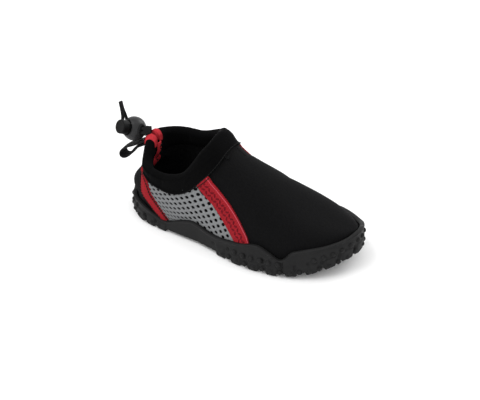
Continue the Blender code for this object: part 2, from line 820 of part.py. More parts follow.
def curve_points(knots, steps):
    """Points along a smooth curve through the knots."""
    found = []
    for i in range(len(knots) - 1):
        before = knots[max(0, i - 1)]
        a, b = knots[i], knots[i + 1]
        after = knots[min(len(knots) - 1, i + 2)]
        for k in range(steps):
            t = k / steps
            found.append(
                0.5 * ((2 * a) + (b - before) * t + (2 * before - 5 * a + 4 * b - after) * t * t
                       + (3 * a - before - 3 * b + after) * t ** 3)
            )
    return found + [knots[-1]]


def lock_axes():
    """The cord hole's axis, the axis across both cords, and the button's axis, square to each other."""
    button = LOCK_BUTTON.normalized()
    hole = (LOCK_HOLE - button * LOCK_HOLE.dot(button)).normalized()
    return hole, button.cross(hole), button


def lathe(profile, centre, axes, sides):
    """Points and faces of a (radius, height) profile turned round the third axis. Poles are closed."""
    hole, across, button = axes
    points = []
    for radius, height in profile:
        for k in range(sides):
            turn = 2 * math.pi * k / sides
            spoke = hole * math.cos(turn) + across * math.sin(turn)
            points.append(centre + spoke * radius + button * height)
    return points, ring_faces(len(profile), sides, False)


def slot_cutter(name, centre, axes, low, high):
    """A straight slot along the cords, from low to high on the button's axis."""
    hole, across, button = axes
    half = CORD_SPACING / 2 + CORD_DIAMETER / 2 + HOLE_CLEARANCE
    round_part = (high - low) / 2
    points = []
    for reach in (-1, 1):
        for turn in range(16):
            angle = math.pi * (turn + 0.5) / 8
            side = math.copysign(1, math.cos(angle))
            flat = max(0.0, half - round_part * 0.6) * side
            spot = across * (flat + min(half, round_part * 0.6) * math.cos(angle))
            spot += button * ((low + high) / 2 + round_part * max(-1, min(1, 1.2 * math.sin(angle))))
            points.append(centre + hole * reach * 2 * BALL_RADIUS + spot)
    faces = ring_faces(2, 16, False) + [tuple(range(16)), tuple(range(16, 32))]
    return hide_cutter(mesh_object(name, points, faces, CUTTER_MATERIAL))


def cut(made, cutter):
    boolean = made.modifiers.new("slot", "BOOLEAN")
    boolean.operation = "DIFFERENCE"
    boolean.solver = "EXACT"
    boolean.object = cutter


def build_lock(ball_material, button_material):
    """Ball with a bore for its button and a slot for two cords, and the button that slides in it."""
    axes = lock_axes()
    bore = BUTTON_RADIUS + BORE_CLEARANCE
    mouth = math.asin(bore / BALL_RADIUS)
    profile = [(0.0, -BALL_RADIUS)]
    for k in range(1, 10):
        angle = math.pi - (math.pi - mouth) * k / 9
        profile.append((BALL_RADIUS * math.sin(angle), BALL_RADIUS * math.cos(angle)))
    deep = -(BUTTON_FOOT + BUTTON_TRAVEL + BORE_CLEARANCE)
    profile += [(bore, deep), (0.0, deep)]
    points, faces = lathe(profile, LOCK_CENTRE, axes, 20)
    ball = mesh_object("lock_ball", points, faces, ball_material, 40)
    room = CORD_DIAMETER / 2 + HOLE_CLEARANCE
    cut(ball, slot_cutter("ball_slot", LOCK_CENTRE, axes, -room, room))
    bevel = 0.0006
    profile = [(0.0, -BUTTON_FOOT), (BUTTON_RADIUS, -BUTTON_FOOT), (BUTTON_RADIUS, BUTTON_END - bevel)]
    profile += [(BUTTON_RADIUS - bevel, BUTTON_END), (0.0, BUTTON_END)]
    points, faces = lathe(profile, LOCK_CENTRE, axes, 24)
    button = mesh_object("lock_button", points, faces, button_material, 40)
    cut(button, slot_cutter("button_slot", LOCK_CENTRE, axes, -room, room + BUTTON_TRAVEL))


def loop_path():
    """The pull loop's centreline in the XZ plane, from under the bindings back round to the heel."""
    knots = [Vector(spot) for spot in LOOP_KNOTS]
    return [(spot.x, spot.y) for spot in curve_points(knots, 3)]


def build_cords(material):
    """Two runs of elastic cord from the end bindings through the lock to their cut tips."""
    hole, across, _ = lock_axes()
    for word, place in (("outer", -1), ("inner", 1)):
        centre = LOCK_CENTRE + across * CORD_SPACING / 2 * place
        reach = hole * (BALL_RADIUS + 0.0005)
        straight = [centre + reach, centre + reach * 0.33, centre - reach * 0.33, centre - reach]
        knots = [Vector(CORD_EXITS[word]), *straight, *(Vector(spot) for spot in CORD_TAILS[word])]
        cord_run(f"drawcord_{word}", curve_points(knots, 2), material)


def centre_shoe():
    """Moves everything so that the origin is under the middle of the shoe without lock and cords."""
    bpy.context.view_layer.update()
    corners = []
    for made in SHOE.objects:
        if not made.name.startswith(("lock", "drawcord")):
            corners += [made.matrix_world @ Vector(corner) for corner in made.bound_box]
    lows = [min(c[k] for c in corners) for k in range(3)]
    highs = [max(c[k] for c in corners) for k in range(3)]
    shift = Matrix.Translation((-(lows[0] + highs[0]) / 2, -(lows[1] + highs[1]) / 2, 0.0))
    for made in [*SHOE.objects, *CUTTERS.objects]:
        made.data.transform(shift)


SHOE = None
CUTTERS = None
CUTTER_MATERIAL = None


def main():
    global SHOE, CUTTERS, CUTTER_MATERIAL
    for old in list(bpy.data.objects):
        bpy.data.objects.remove(old)
    SHOE = bpy.data.collections.new("water_shoe")
    bpy.context.scene.collection.children.link(SHOE)
    neoprene = fabric("black_neoprene", (0.012, 0.012, 0.012), 0.92)
    rubber = fabric("black_rubber", (0.02, 0.02, 0.02), 0.6)
    foam = fabric("black_foam", (0.015, 0.015, 0.015), 0.9)
    mesh = fabric("grey_mesh", (0.25, 0.26, 0.27), 0.8)
    tape = fabric("red_tape", (0.33, 0.02, 0.025), 0.75)
    plastic = fabric("dark_plastic", (0.045, 0.045, 0.045), 0.45)
    cord = fabric("black_cord", (0.025, 0.025, 0.025), 0.85)
    webbing = fabric("black_webbing", (0.015, 0.015, 0.015), 0.9)
    CUTTERS = bpy.data.collections.new("cutters")
    bpy.context.scene.collection.children.link(CUTTERS)
    CUTTER_MATERIAL = fabric("cutter", (0.8, 0.3, 0.8), 0.5)
    build_upper(neoprene)
    build_outsole(rubber)
    build_insole(foam)
    build_collar(neoprene)
    for side in (OUTER, INNER):
        build_side(side, mesh, tape)
        word = "outer" if side == OUTER else "inner"
        build_end_binding(f"end_binding_{word}", side, tape)
    build_heel_tape(tape)
    build_lock(plastic, plastic)
    build_cords(cord)
    strap("pull_loop", loop_path(), LOOP_WIDTH, LOOP_THICKNESS, webbing)
    centre_shoe()


main()
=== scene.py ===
"""Looks for the water shoe: fabrics, tapes, rubber, cord lock, floor, light and camera.

Lengths are metres in the shoe's own frame: +X to the toe, +Y to the inner side, +Z up. The last's
functions take x from the back of the heel, and HEEL is where that point lies in the frame.
"""

import math
from collections import namedtuple

import bmesh
import bpy
import numpy as np
from bpy.props import FloatProperty, FloatVectorProperty, IntProperty, PointerProperty
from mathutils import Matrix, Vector, noise


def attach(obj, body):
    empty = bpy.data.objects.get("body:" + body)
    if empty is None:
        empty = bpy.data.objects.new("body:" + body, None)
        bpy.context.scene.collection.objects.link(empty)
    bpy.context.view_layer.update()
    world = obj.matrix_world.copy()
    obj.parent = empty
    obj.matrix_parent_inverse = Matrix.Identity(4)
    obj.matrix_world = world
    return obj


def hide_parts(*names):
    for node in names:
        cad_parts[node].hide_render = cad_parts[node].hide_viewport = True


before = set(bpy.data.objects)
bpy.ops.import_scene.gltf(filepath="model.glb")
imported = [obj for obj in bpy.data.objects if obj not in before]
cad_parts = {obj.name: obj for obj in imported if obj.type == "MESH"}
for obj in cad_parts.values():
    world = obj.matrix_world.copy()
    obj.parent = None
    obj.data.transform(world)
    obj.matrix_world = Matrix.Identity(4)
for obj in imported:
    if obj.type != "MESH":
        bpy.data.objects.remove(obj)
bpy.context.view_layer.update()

bl_info = {
    "name": "Water shoe",
    "version": (1, 0, 0),
    "blender": (4, 5, 0),
    "location": "View3D > Sidebar > Water shoe",
    "description": "Builds the visible pieces of a child's slip-on water shoe over its packed frame",
    "category": "Add Mesh",
}

# The last
HEEL = Vector((-0.075585, 0.000144, 0.0))
LAST_LENGTH = 0.165
BALL_WIDTH = 0.068
INSTEP_HEIGHT = 0.062
WALL = 0.0025
HEEL_ROUND = 0.027
TOE_ROUND = 0.044
TOE_DROP = 0.030
TOE_TOP = 0.0275
TOE_SPRING = 0.0108
TOE_LIFT = 0.75
HEEL_SET_BACK = 0.0065
COUNTER_SWELL = 0.0040
COUNTER_FOOT = 0.0150
COUNTER_RISE = 0.0055
COUNTER_TOP = 0.0215
COUNTER_BLEND = 0.0125
LUG_HEIGHT = 0.0019
SOLE_BODY = 0.0047
GAP = 0.0003
OUTER, INNER = -1, 1
WORDS = {OUTER: "outer", INNER: "inner"}

# Collar
SEAM_FRONT = 0.0715
TOP_FRONT = 0.0615
ROLL_RADIUS = 0.0035
COLLAR_BULGE = 0.0010
NOTCH_HALF = 0.0085
NOTCH_LEVEL = 0.56

# Outsole wall
SOLE_CLEARANCE = 0.0005
SOLE_WALL = 0.0028
LEAN_SHARE = 0.30
LEAN_LIMIT = 0.0040
SIDE_HEIGHT = 0.0200
LIP_HEIGHT = 0.0014
LIP_PROUD = 0.0007

Section = namedtuple("Section", "share middle half ridge square")
SECTIONS = (
    Section(0.00, 0.004, 0.364, 1.40, 2.4),
    Section(0.12, 0.006, 0.374, 1.40, 2.4),
    Section(0.25, -0.010, 0.390, 1.38, 2.4),
    Section(0.38, -0.019, 0.402, 1.170, 2.3),
    Section(0.42, -0.022, 0.415, 1.045, 2.3),
    Section(0.46, -0.024, 0.431, 0.975, 2.2),
    Section(0.50, -0.025, 0.449, 0.93, 2.2),
    Section(0.62, -0.021, 0.496, 0.79, 2.2),
    Section(0.72, 0.005, 0.504, 0.650, 2.4),
    Section(0.82, 0.023, 0.480, 0.530, 2.8),
    Section(0.92, 0.037, 0.427, 0.465, 3.2),
    Section(1.00, 0.059, 0.368, 0.445, 3.4),
)
# Rise of the sole's underside off the floor, in toe springs, by share of length
Rise = namedtuple("Rise", "share height")
RISES = (
    Rise(0.00, 0.185),
    Rise(0.05, 0.056),
    Rise(0.10, 0.000),
    Rise(0.74, 0.000),
    Rise(0.82, 0.111),
    Rise(0.90, 0.370),
    Rise(0.96, 0.685),
    Rise(1.00, 1.000),
)

# Heights of the sole's top edge above the floor, in side heights, by share of length
Rim = namedtuple("Rim", "share outer inner")
RIMS = (
    Rim(0.00, 0.620, 0.620),
    Rim(0.08, 0.690, 0.690),
    Rim(0.13, 0.600, 0.600),
    Rim(0.205, 0.425, 0.425),
    Rim(0.30, 0.725, 0.725),
    Rim(0.35, 0.850, 0.850),
    Rim(0.47, 0.715, 0.715),
    Rim(0.58, 0.850, 0.850),
    Rim(0.67, 1.000, 1.000),
    Rim(0.735, 0.825, 0.825),
    Rim(0.775, 0.665, 0.665),
    Rim(0.82, 1.000, 0.890),
    Rim(0.94, 1.200, 1.060),
    Rim(0.99, 1.325, 1.275),
    Rim(1.00, 1.425, 1.425),
)

# Collar heights above the floor, as shares of the ridge's height where each line crosses it, by the
# way round from the heel, 0, to the collar's front
Edge = namedtuple("Edge", "way seam_outer seam_inner top_outer top_inner")
EDGES = (
    Edge(0.00, 0.579, 0.579, 0.769, 0.769),
    Edge(0.07, 0.577, 0.580, 0.728, 0.765),
    Edge(0.10, 0.574, 0.583, 0.667, 0.762),
    Edge(0.14, 0.571, 0.586, 0.605, 0.755),
    Edge(0.19, 0.564, 0.594, 0.578, 0.748),
    Edge(0.27, 0.550, 0.610, 0.569, 0.739),
    Edge(0.37, 0.510, 0.626, 0.571, 0.735),
    Edge(0.50, 0.493, 0.642, 0.582, 0.744),
    Edge(0.58, 0.520, 0.666, 0.612, 0.773),
    Edge(0.67, 0.602, 0.721, 0.671, 0.823),
    Edge(0.77, 0.745, 0.808, 0.803, 0.891),
    Edge(0.86, 0.856, 0.880, 0.925, 0.959),
)

# Distances from the heel of the side's lines, as shares of the seam's front, by share of the way up
# from the sole to the line's own top end at the collar
SideLine = namedtuple("SideLine", "share rear behind ahead front")
SIDE_LINES = (
    SideLine(0.00, 0.443, 0.539, 1.325, 1.468),
    SideLine(0.06, 0.374, 0.522, 1.304, 1.457),
    SideLine(0.12, 0.321, 0.503, 1.284, 1.445),
    SideLine(0.20, 0.282, 0.473, 1.258, 1.421),
    SideLine(0.30, 0.254, 0.431, 1.222, 1.385),
    SideLine(0.40, 0.219, 0.396, 1.181, 1.344),
    SideLine(0.50, 0.197, 0.348, 1.135, 1.293),
    SideLine(0.60, 0.170, 0.310, 1.082, 1.234),
    SideLine(0.70, 0.131, 0.271, 1.020, 1.162),
    SideLine(0.80, 0.088, 0.223, 0.945, 1.071),
    SideLine(0.90, 0.073, 0.164, 0.882, 0.988),
    SideLine(1.00, 0.069, 0.098, 0.832, 0.926),
)


def blend(a, b, t):
    """Part t of the way from a to b."""
    return a + (b - a) * t


def smooth(t):
    """From 0 to 1 with level ends."""
    t = np.clip(t, 0.0, 1.0)
    return t * t * (3 - 2 * t)


def through(knots, x):
    """A smooth curve through (x, value) knots, without overshoot at a knot that is a peak."""
    xs = np.array([k[0] for k in knots], float)
    ys = np.array([k[1] for k in knots], float)
    widths = np.diff(xs)
    slopes = np.diff(ys) / widths
    tangents = np.empty(len(xs))
    tangents[0], tangents[-1] = slopes[0], slopes[-1]
    before, after = slopes[:-1], slopes[1:]
    total = np.where(before * after > 0, before + after, 1.0)
    tangents[1:-1] = np.where(before * after > 0, 2 * before * after / total, 0.0)
    x = np.clip(x, xs[0], xs[-1])
    i = np.clip(np.searchsorted(xs, x, side="right") - 1, 0, len(widths) - 1)
    width = widths[i]
    t = (x - xs[i]) / width
    rise = ys[i] * (1 + 2 * t) * (1 - t) ** 2 + ys[i + 1] * t * t * (3 - 2 * t)
    return rise + width * (tangents[i] * t * (1 - t) ** 2 - tangents[i + 1] * t * t * (1 - t))


def unit(vectors):
    """Vectors made one long."""
    return vectors / np.linalg.norm(vectors, axis=-1, keepdims=True)


def run_along(path):
    """The distance along a path to each of its points."""
    return np.concatenate([[0.0], np.cumsum(np.linalg.norm(np.diff(path, axis=0), axis=-1))])


def column(table, name, share):
    """One column of a table of rows by share, smoothly read at a share."""
    return through([(row.share, getattr(row, name)) for row in table], share)


def rounded(distance, radius, power=2.2):
    """From 0 at an end to 1 one radius in, along a superelliptic quarter."""
    part = np.clip(distance / radius, 0.0, 1.0)
    return np.maximum(0.0, 1 - (1 - part) ** power) ** (1 / power)


def last_middle(x):
    """Where the last's middle lies across the shoe at x."""
    return BALL_WIDTH * column(SECTIONS, "middle", x / LAST_LENGTH)


def last_half(x):
    """Half the last's width at x."""
    body = BALL_WIDTH * column(SECTIONS, "half", x / LAST_LENGTH)
    return body * rounded(x, HEEL_ROUND) * rounded(LAST_LENGTH - x, TOE_ROUND)


def squareness(x):
    """Power of the last's superelliptic section at x."""
    return column(SECTIONS, "square", x / LAST_LENGTH)


def underside(x):
    """Height of the sole's underside over the floor at x."""
    return TOE_SPRING * column(RISES, "height", x / LAST_LENGTH)


def footbed(x):
    """Height of the sole's inside floor at x."""
    return underside(x) * TOE_LIFT + LUG_HEIGHT + SOLE_BODY


def last_ridge(x):
    """Height of the last's ridge at x."""
    body = INSTEP_HEIGHT * column(SECTIONS, "ridge", x / LAST_LENGTH)
    return TOE_TOP + np.maximum(0.0, body - TOE_TOP) * rounded(LAST_LENGTH - x, TOE_DROP, 2.0)


def station(x):
    """The angle whose cosine spacing reaches x: stations crowd where heel and toe turn."""
    return np.arccos(np.clip(1 - 2 * np.asarray(x) / LAST_LENGTH, -1.0, 1.0))


def steepness(x, z):
    """The angle round the section at which the skin at x is z high."""
    base = footbed(x) + GAP
    part = np.clip((z - base) / (last_ridge(x) - base), 0.0, 1.0)
    return np.arcsin(part ** (squareness(x) / 2))


def last_point(turn, angle, side):
    """The upper's outer skin. turn runs from heel 0 to toe pi, angle from feather edge 0 to ridge."""
    side = np.where((turn < 0) | (turn > math.pi), -side, side)
    turn = np.where(turn < 0, -turn, np.where(turn > math.pi, 2 * math.pi - turn, turn))
    x = LAST_LENGTH * (1 - np.cos(turn)) / 2
    power = 2 / squareness(x)
    across = np.sign(np.cos(angle)) * np.abs(np.cos(angle)) ** power
    base = footbed(x) + GAP
    z = base + (last_ridge(x) - base) * np.maximum(0.0, np.sin(angle)) ** power
    y = last_middle(x) + side * last_half(x) * across
    near = np.maximum(0.0, 1 - x / (2 * HEEL_ROUND)) ** 2
    above = smooth((z - COUNTER_TOP) / COUNTER_BLEND)
    swell = COUNTER_SWELL * smooth((z - COUNTER_FOOT) / COUNTER_RISE) * (1 - above)
    return np.stack([x + (HEEL_SET_BACK * above - swell) * near, y, z], axis=-1)


def skin(x, z, side, proud=0.0, angle=None):
    """Points on the upper's outer skin, proud of it along the normal, in the shoe's frame."""
    x = np.asarray(x, float)
    turn = station(x)
    angle = steepness(x, z) if angle is None else np.asarray(angle, float)
    here = last_point(turn, angle, side)
    along = last_point(turn + TURN_PROBE, angle, side) - last_point(turn - TURN_PROBE, angle, side)
    below = np.maximum(0.0, angle - TURN_PROBE)
    up = last_point(turn, angle + TURN_PROBE, side) - last_point(turn, below, side)
    normal = unit(np.cross(along, up) * -side)
    return here + normal * np.asarray(proud)[..., None] + np.array(HEEL)


def edge_front(level):
    """Where a line round the collar crosses the ridge. Level 0 is the seam and 1 the top."""
    return blend(SEAM_FRONT, TOP_FRONT, level)


def edge_height(level, way, side):
    """Height of a line round the collar."""
    word = WORDS[side]
    seam_ridge, top_ridge = float(last_ridge(SEAM_FRONT)), float(last_ridge(TOP_FRONT))
    knots = []
    for e in EDGES:
        seam, top = seam_ridge * getattr(e, "seam_" + word), top_ridge * getattr(e, "top_" + word)
        knots.append((e.way, blend(seam, top, level)))
    return through(knots + [(1.0, float(last_ridge(edge_front(level))))], way)


def edge_point(level, way, side, proud=0.0):
    """Points on a line round the collar, from the heel, way 0, to its front, way 1."""
    way = np.clip(np.asarray(way, float), 0.0, 1.0)
    x = edge_front(level) * (1 - np.cos(math.pi * way)) / 2
    angle = np.where(way >= 1, math.pi / 2, steepness(x, edge_height(level, way, side)))
    return skin(x, 0.0, side, proud, angle)


def seam_height(x, side):
    """Height of the collar's seam above x, or the ridge in front of it."""
    x = np.asarray(x, float)
    way = np.arccos(np.clip(1 - 2 * x / SEAM_FRONT, -1.0, 1.0)) / math.pi
    return np.where(x >= SEAM_FRONT, last_ridge(x), edge_height(0.0, way, side))


def rim_height(x, side):
    """Height of the sole's top edge at x."""
    rim = SIDE_HEIGHT * column(RIMS, WORDS[side], np.asarray(x) / LAST_LENGTH)
    return np.maximum(rim, footbed(x) + LIP_HEIGHT)


# Looks

Crease = namedtuple("Crease", "x height side turn length width depth")
UPPER_CREASES = (
    Crease(0.0790, 0.0560, INNER, 70, 0.016, 0.0030, -0.0004),
    Crease(0.0800, 0.0540, OUTER, -60, 0.018, 0.0032, -0.0005),
    Crease(0.1010, 0.0400, OUTER, 78, 0.020, 0.0040, -0.0004),
    Crease(0.1060, 0.0400, INNER, -75, 0.022, 0.0045, -0.0004),
    Crease(0.1200, 0.0290, OUTER, 82, 0.015, 0.0035, -0.0003),
)
COLLAR_CREASES = (
    Crease(0.0600, 0.0560, OUTER, 38, 0.014, 0.0022, -0.0007),
    Crease(0.0540, 0.0470, OUTER, 62, 0.010, 0.0020, -0.0004),
    Crease(0.0300, 0.0370, OUTER, 80, 0.009, 0.0026, -0.0004),
    Crease(0.0170, 0.0400, OUTER, 95, 0.010, 0.0024, -0.0004),
    Crease(0.0450, 0.0500, INNER, 70, 0.012, 0.0024, -0.0005),
    Crease(0.0250, 0.0480, INNER, 88, 0.012, 0.0028, -0.0004),
)

SHOE_INSIDE = Vector((0.0, 0.0, 0.3 * INSTEP_HEIGHT))

# The band's padding: how far its outside stands proud, by level
Swell = namedtuple("Swell", "level proud")
COLLAR_SWELLS = (
    Swell(0.000, 0.0003), Swell(0.015, 0.0013), Swell(0.050, 0.0018), Swell(0.120, 0.0014),
    Swell(0.200, 0.0011), Swell(0.360, 0.0012), Swell(0.550, 0.0015), Swell(0.720, 0.0014),
)
COLLAR_COLUMNS = 100
UPPER_WAYS = 56
UPPER_COLUMNS = 74
UPPER_ROWS = 46
# Slow seeded swells: their size and how far they stand in and out
Swells = namedtuple("Swells", "size amount")
UPPER_SWELLS = Swells(0.022, 0.00018)
BAND_SWELLS = Swells(0.011, 0.00035)
BINDING_SWELLS = Swells(0.0035, 0.0002)
# Over this length at heel and toe the upper's creases and swells fade
END_FADE = 0.012
TUBE_DOME = ((0.12, 0.88), (0.25, 0.55))
# A small step out of or along a surface, to find its direction
PROBE = 0.001
TURN_PROBE = 0.02
ROLL_PROBE = 0.12
SHARE_PROBE = 0.004
MERGE_DISTANCE = 0.00001
# How far across the shoe a crease keeps its depth
CREASE_SPREAD = 0.012

# The slit at the centre back, the caps beside it and the tape below it
SLIT_HALF = 0.0014
SLIT_LEVEL = 0.8
SLIT_COLUMNS = 8
BINDING_COLUMNS = 22
BINDING_PUFF = 0.0007
BINDING_END = 0.0066
BINDING_LEVEL = NOTCH_LEVEL + 0.10
TAPE_HALF = 0.0017
TAPE_BOW_HALF = 0.0056
TAPE_LOW_LEVEL = -0.22
TAPE_DOME = 0.0006
TAPE_LIFT = 0.0014
TAPE_BACK = 0.0002
TAPE_SUNK = 0.0004
BINDING_GAP = 0.0004

# Sewing: stitches along a seam, leaning to and fro by slant in a zigzag
Seam = namedtuple("Seam", "pitch length radius slant")
RIBBON_ZIGZAG = Seam(0.0027, 0.0030, 0.00062, 0.75)
RIBBON_EDGE = Seam(0.0014, 0.0018, 0.00034, 0.0)
RIBBON_END = Seam(0.0016, 0.0020, 0.00040, 0.0)
# Dark stitch lines along the rear piping's edges: painted shadow of the seam between piping and mesh
PIPING_SHADE_STITCH = Seam(0.0019, 0.0017, 0.00055, 0.0)
TAPE_ZIGZAG = Seam(0.0024, 0.0036, 0.00050, 0.9)
RIBBON_SEAMS = (0.36, 0.64)
RIBBON_EDGE_SHARE = 0.95
RIBBON_END_SHARE = 0.982
# Shares of the piping's width where its dark lines of painted seam shadow run, and their lift
PIPING_SHADE_SHARES = (0.07, 0.93)
PIPING_SHADE_LIFT = 0.0018
COLLAR_SEAM_LEVEL = 0.055
COLLAR_SEAM_LIFT = 0.0019
THREAD_SUNK = 0.0001

# The mesh's cells: rows rise to the toe and fan out, columns lean forward down the side
MESH_START = (0.0705, 0.0445)
MESH_TILT = 35.0
MESH_TILT_FALL = 1.75
MESH_PITCH = 0.0057
MESH_PITCH_FALL = 0.000235
MESH_PITCH_LEAST = 0.0031
MESH_ROW_PITCH = 0.0040
MESH_LEAN = 33.2
MESH_LEAN_GROWTH = 1.9
MESH_COLUMNS = range(-6, 22)
MESH_ROWS = range(-3, 13)
MESH_MARGIN = 0.0019
MESH_LEAN_MOST = 58.0
MESH_REACH = (0.004, 0.12)
MESH_UV = (0.0042, 0.0040)
# How far the side's tapes reach under the sole's rim and the collar's edge
TUCK = 0.0012

# Lugs by share of each side's length. Those that run right across the sole have across set
Lug = namedtuple("Lug", "share across")
LUGS = (
    Lug(0.0, 0), Lug(0.048, 0), Lug(0.096, 1), Lug(0.144, 0), Lug(0.192, 1), Lug(0.240, 0),
    Lug(0.500, 1), Lug(0.565, 0), Lug(0.630, 1), Lug(0.695, 0), Lug(0.760, 1), Lug(0.825, 0),
    Lug(0.885, 0), Lug(0.945, 0), Lug(1.0, 0),
)
LUG_LENGTH = 0.0058
LUG_STEP = 0.0014
LUG_REACH = 0.0075
LUG_PROUD = 0.0006
RIB_TOP = 0.0085
EDGE_ROUND = 0.0014
RIB_SLOPE = 0.0006
GROOVE = 0.0012
GROOVE_STEP = 0.0004
LIP_ROUND_IN = 0.0006
LIP_ROUND_UP = 0.0007
TREAD_START = 0.010
TREAD_END = 0.012
TREAD_ROW_SHARE = 0.87
TREAD_BLOCK_SHARE = 0.36

# Small hollows in the sole's side, by share of each side's length
Hollow = namedtuple("Hollow", "share height length tall depth")
HOLLOWS = (
    Hollow(0.030, 0.0085, 0.0022, 0.0030, 0.0010),
    Hollow(0.075, 0.0080, 0.0022, 0.0034, 0.0010),
    Hollow(0.120, 0.0075, 0.0024, 0.0030, 0.0010),
    Hollow(0.168, 0.0065, 0.0024, 0.0026, 0.0009),
    Hollow(0.216, 0.0055, 0.0026, 0.0020, 0.0008),
    Hollow(0.468, 0.0085, 0.0030, 0.0024, 0.0007),
    Hollow(0.533, 0.0098, 0.0024, 0.0030, 0.0010),
    Hollow(0.598, 0.0092, 0.0022, 0.0034, 0.0010),
    Hollow(0.663, 0.0100, 0.0022, 0.0030, 0.0010),
    Hollow(0.728, 0.0088, 0.0016, 0.0054, 0.0011),
    Hollow(0.770, 0.0080, 0.0014, 0.0056, 0.0010),
    Hollow(0.812, 0.0110, 0.0020, 0.0050, 0.0010),
    Hollow(0.856, 0.0125, 0.0022, 0.0034, 0.0011),
    Hollow(0.915, 0.0150, 0.0022, 0.0040, 0.0011),
    Hollow(0.972, 0.0170, 0.0022, 0.0044, 0.0011),
)

# Rows of round knobs on the sole's side: height over its underside, and the shares of a side between
# which they stand
KnobRow = namedtuple("KnobRow", "height start end pitch shift")
KNOB_ROWS = (
    KnobRow(0.0036, 0.000, 0.235, 0.0060, 0.5),
    KnobRow(0.0088, 0.000, 0.140, 0.0060, 0.0),
    KnobRow(0.0036, 0.490, 1.000, 0.0062, 0.5),
    KnobRow(0.0100, 0.560, 0.730, 0.0062, 0.0),
    KnobRow(0.0115, 0.830, 1.000, 0.0062, 0.0),
)
KNOB_RADIUS = 0.0019
KNOB_SUNK = 0.0009
SOLE_COLUMNS = 420
INSOLE_COLUMNS = 160
# The insole's section: distance inside the plan outline and height over the sole's floor
INSOLE_LEVELS = (
    (0.0036, 0.0007), (0.0030, 0.0015), (0.0030, 0.0026), (0.0034, 0.0031), (0.0042, 0.0033),
    (0.0060, 0.0032), (0.0090, 0.0031), (0.0130, 0.0030),
)

# Cords, cord lock and loop, from the back of the heel
CORD_DIAMETER = 0.0024
CORD_SPACING = 0.0029
CORD_ROOM = 0.0003
# The cord runs straight this far past the ball
CORD_LEAD = 0.0005
BALL_RADIUS = 0.0086
BUTTON_RADIUS = 0.0050
BUTTON_END = 0.0133
BUTTON_FOOT = 0.0032
BUTTON_BEVEL = 0.0006
BORE_ROOM = 0.0003
BORE_FLOOR = -0.006
BUTTON_TRAVEL = 0.0025
BALL_SIDES = 72
BUTTON_SIDES = 64
SEAM_DENT = 0.00012
LOCK_CENTRE = Vector((-0.0074, 0.0010, 0.0540))
LOCK_HOLE = Vector((0.842, -0.432, 0.324))
LOCK_BUTTON = Vector((-0.356, -0.815, 0.460))
CORD_EXITS = {"outer": (0.0056, -0.0014, 0.0564), "inner": (0.0060, 0.0020, 0.0577)}
CORD_TAILS = {
    "outer": (
        (-0.0174, 0.0034, 0.0500), (-0.0189, 0.0028, 0.0527), (-0.0184, 0.0034, 0.0585),
        (-0.0192, 0.0039, 0.0640), (-0.0204, 0.0041, 0.0700),
    ),
    "inner": (
        (-0.0170, 0.0066, 0.0537), (-0.0184, 0.0078, 0.0554), (-0.0194, 0.0076, 0.0588),
        (-0.0206, 0.0072, 0.0628), (-0.0220, 0.0073, 0.0683),
    ),
}
# The port rings' section: lift off the ball and share of the ring's reach
PORT_RINGS = (
    (-0.0004, 0.80), (0.0000, 1.00), (0.0006, 1.06), (0.0012, 1.00), (0.0015, 0.90), (0.0013, 0.80),
    (0.0006, 0.76),
)
PORT_WIDER = 0.0016
PORT_TALLER = 0.0021
PORT_SUNK = 0.0004
SLEEVE_LEAD = 0.0012
SLEEVE_ROOM = 0.0010
SLEEVE_WALL = 0.0006
SLEEVE_SIDES = 32
DRILL_SIDES = 32
PORT_SIDES = 40
LOOP_WIDTH = 0.0095
LOOP_THICKNESS = 0.0016
LOOP_SIDES = 28
LOOP_KNOTS = (
    (0.0046, 0.0500), (0.0015, 0.0480), (-0.0020, 0.0457), (-0.0062, 0.0430), (-0.0110, 0.0402),
    (-0.0152, 0.0366), (-0.0171, 0.0335), (-0.0165, 0.0308), (-0.0138, 0.0306), (-0.0102, 0.0332),
    (-0.0070, 0.0374), (-0.0044, 0.0410), (-0.0008, 0.0438), (0.0027, 0.0462), (0.0056, 0.0482),
)

# Stage
CAMERA_AZIMUTH = 29.749
CAMERA_ELEVATION = 35.367
CAMERA_DISTANCE = 1.0
CAMERA_TARGET = Vector((0.078308, 0.0, 0.023361))
VIEW_WIDTH = 480 / 1455
SENSOR_WIDTH = 36.0
FLOOR_REACH = 6.0
StudioLight = namedtuple("StudioLight", "name place size power")
LIGHTS = (
    StudioLight("key", (-0.7, -0.6, 1.6), 1.2, 1.0),
    StudioLight("rim", (0.5, 1.4, 0.9), 0.9, 0.6),
)


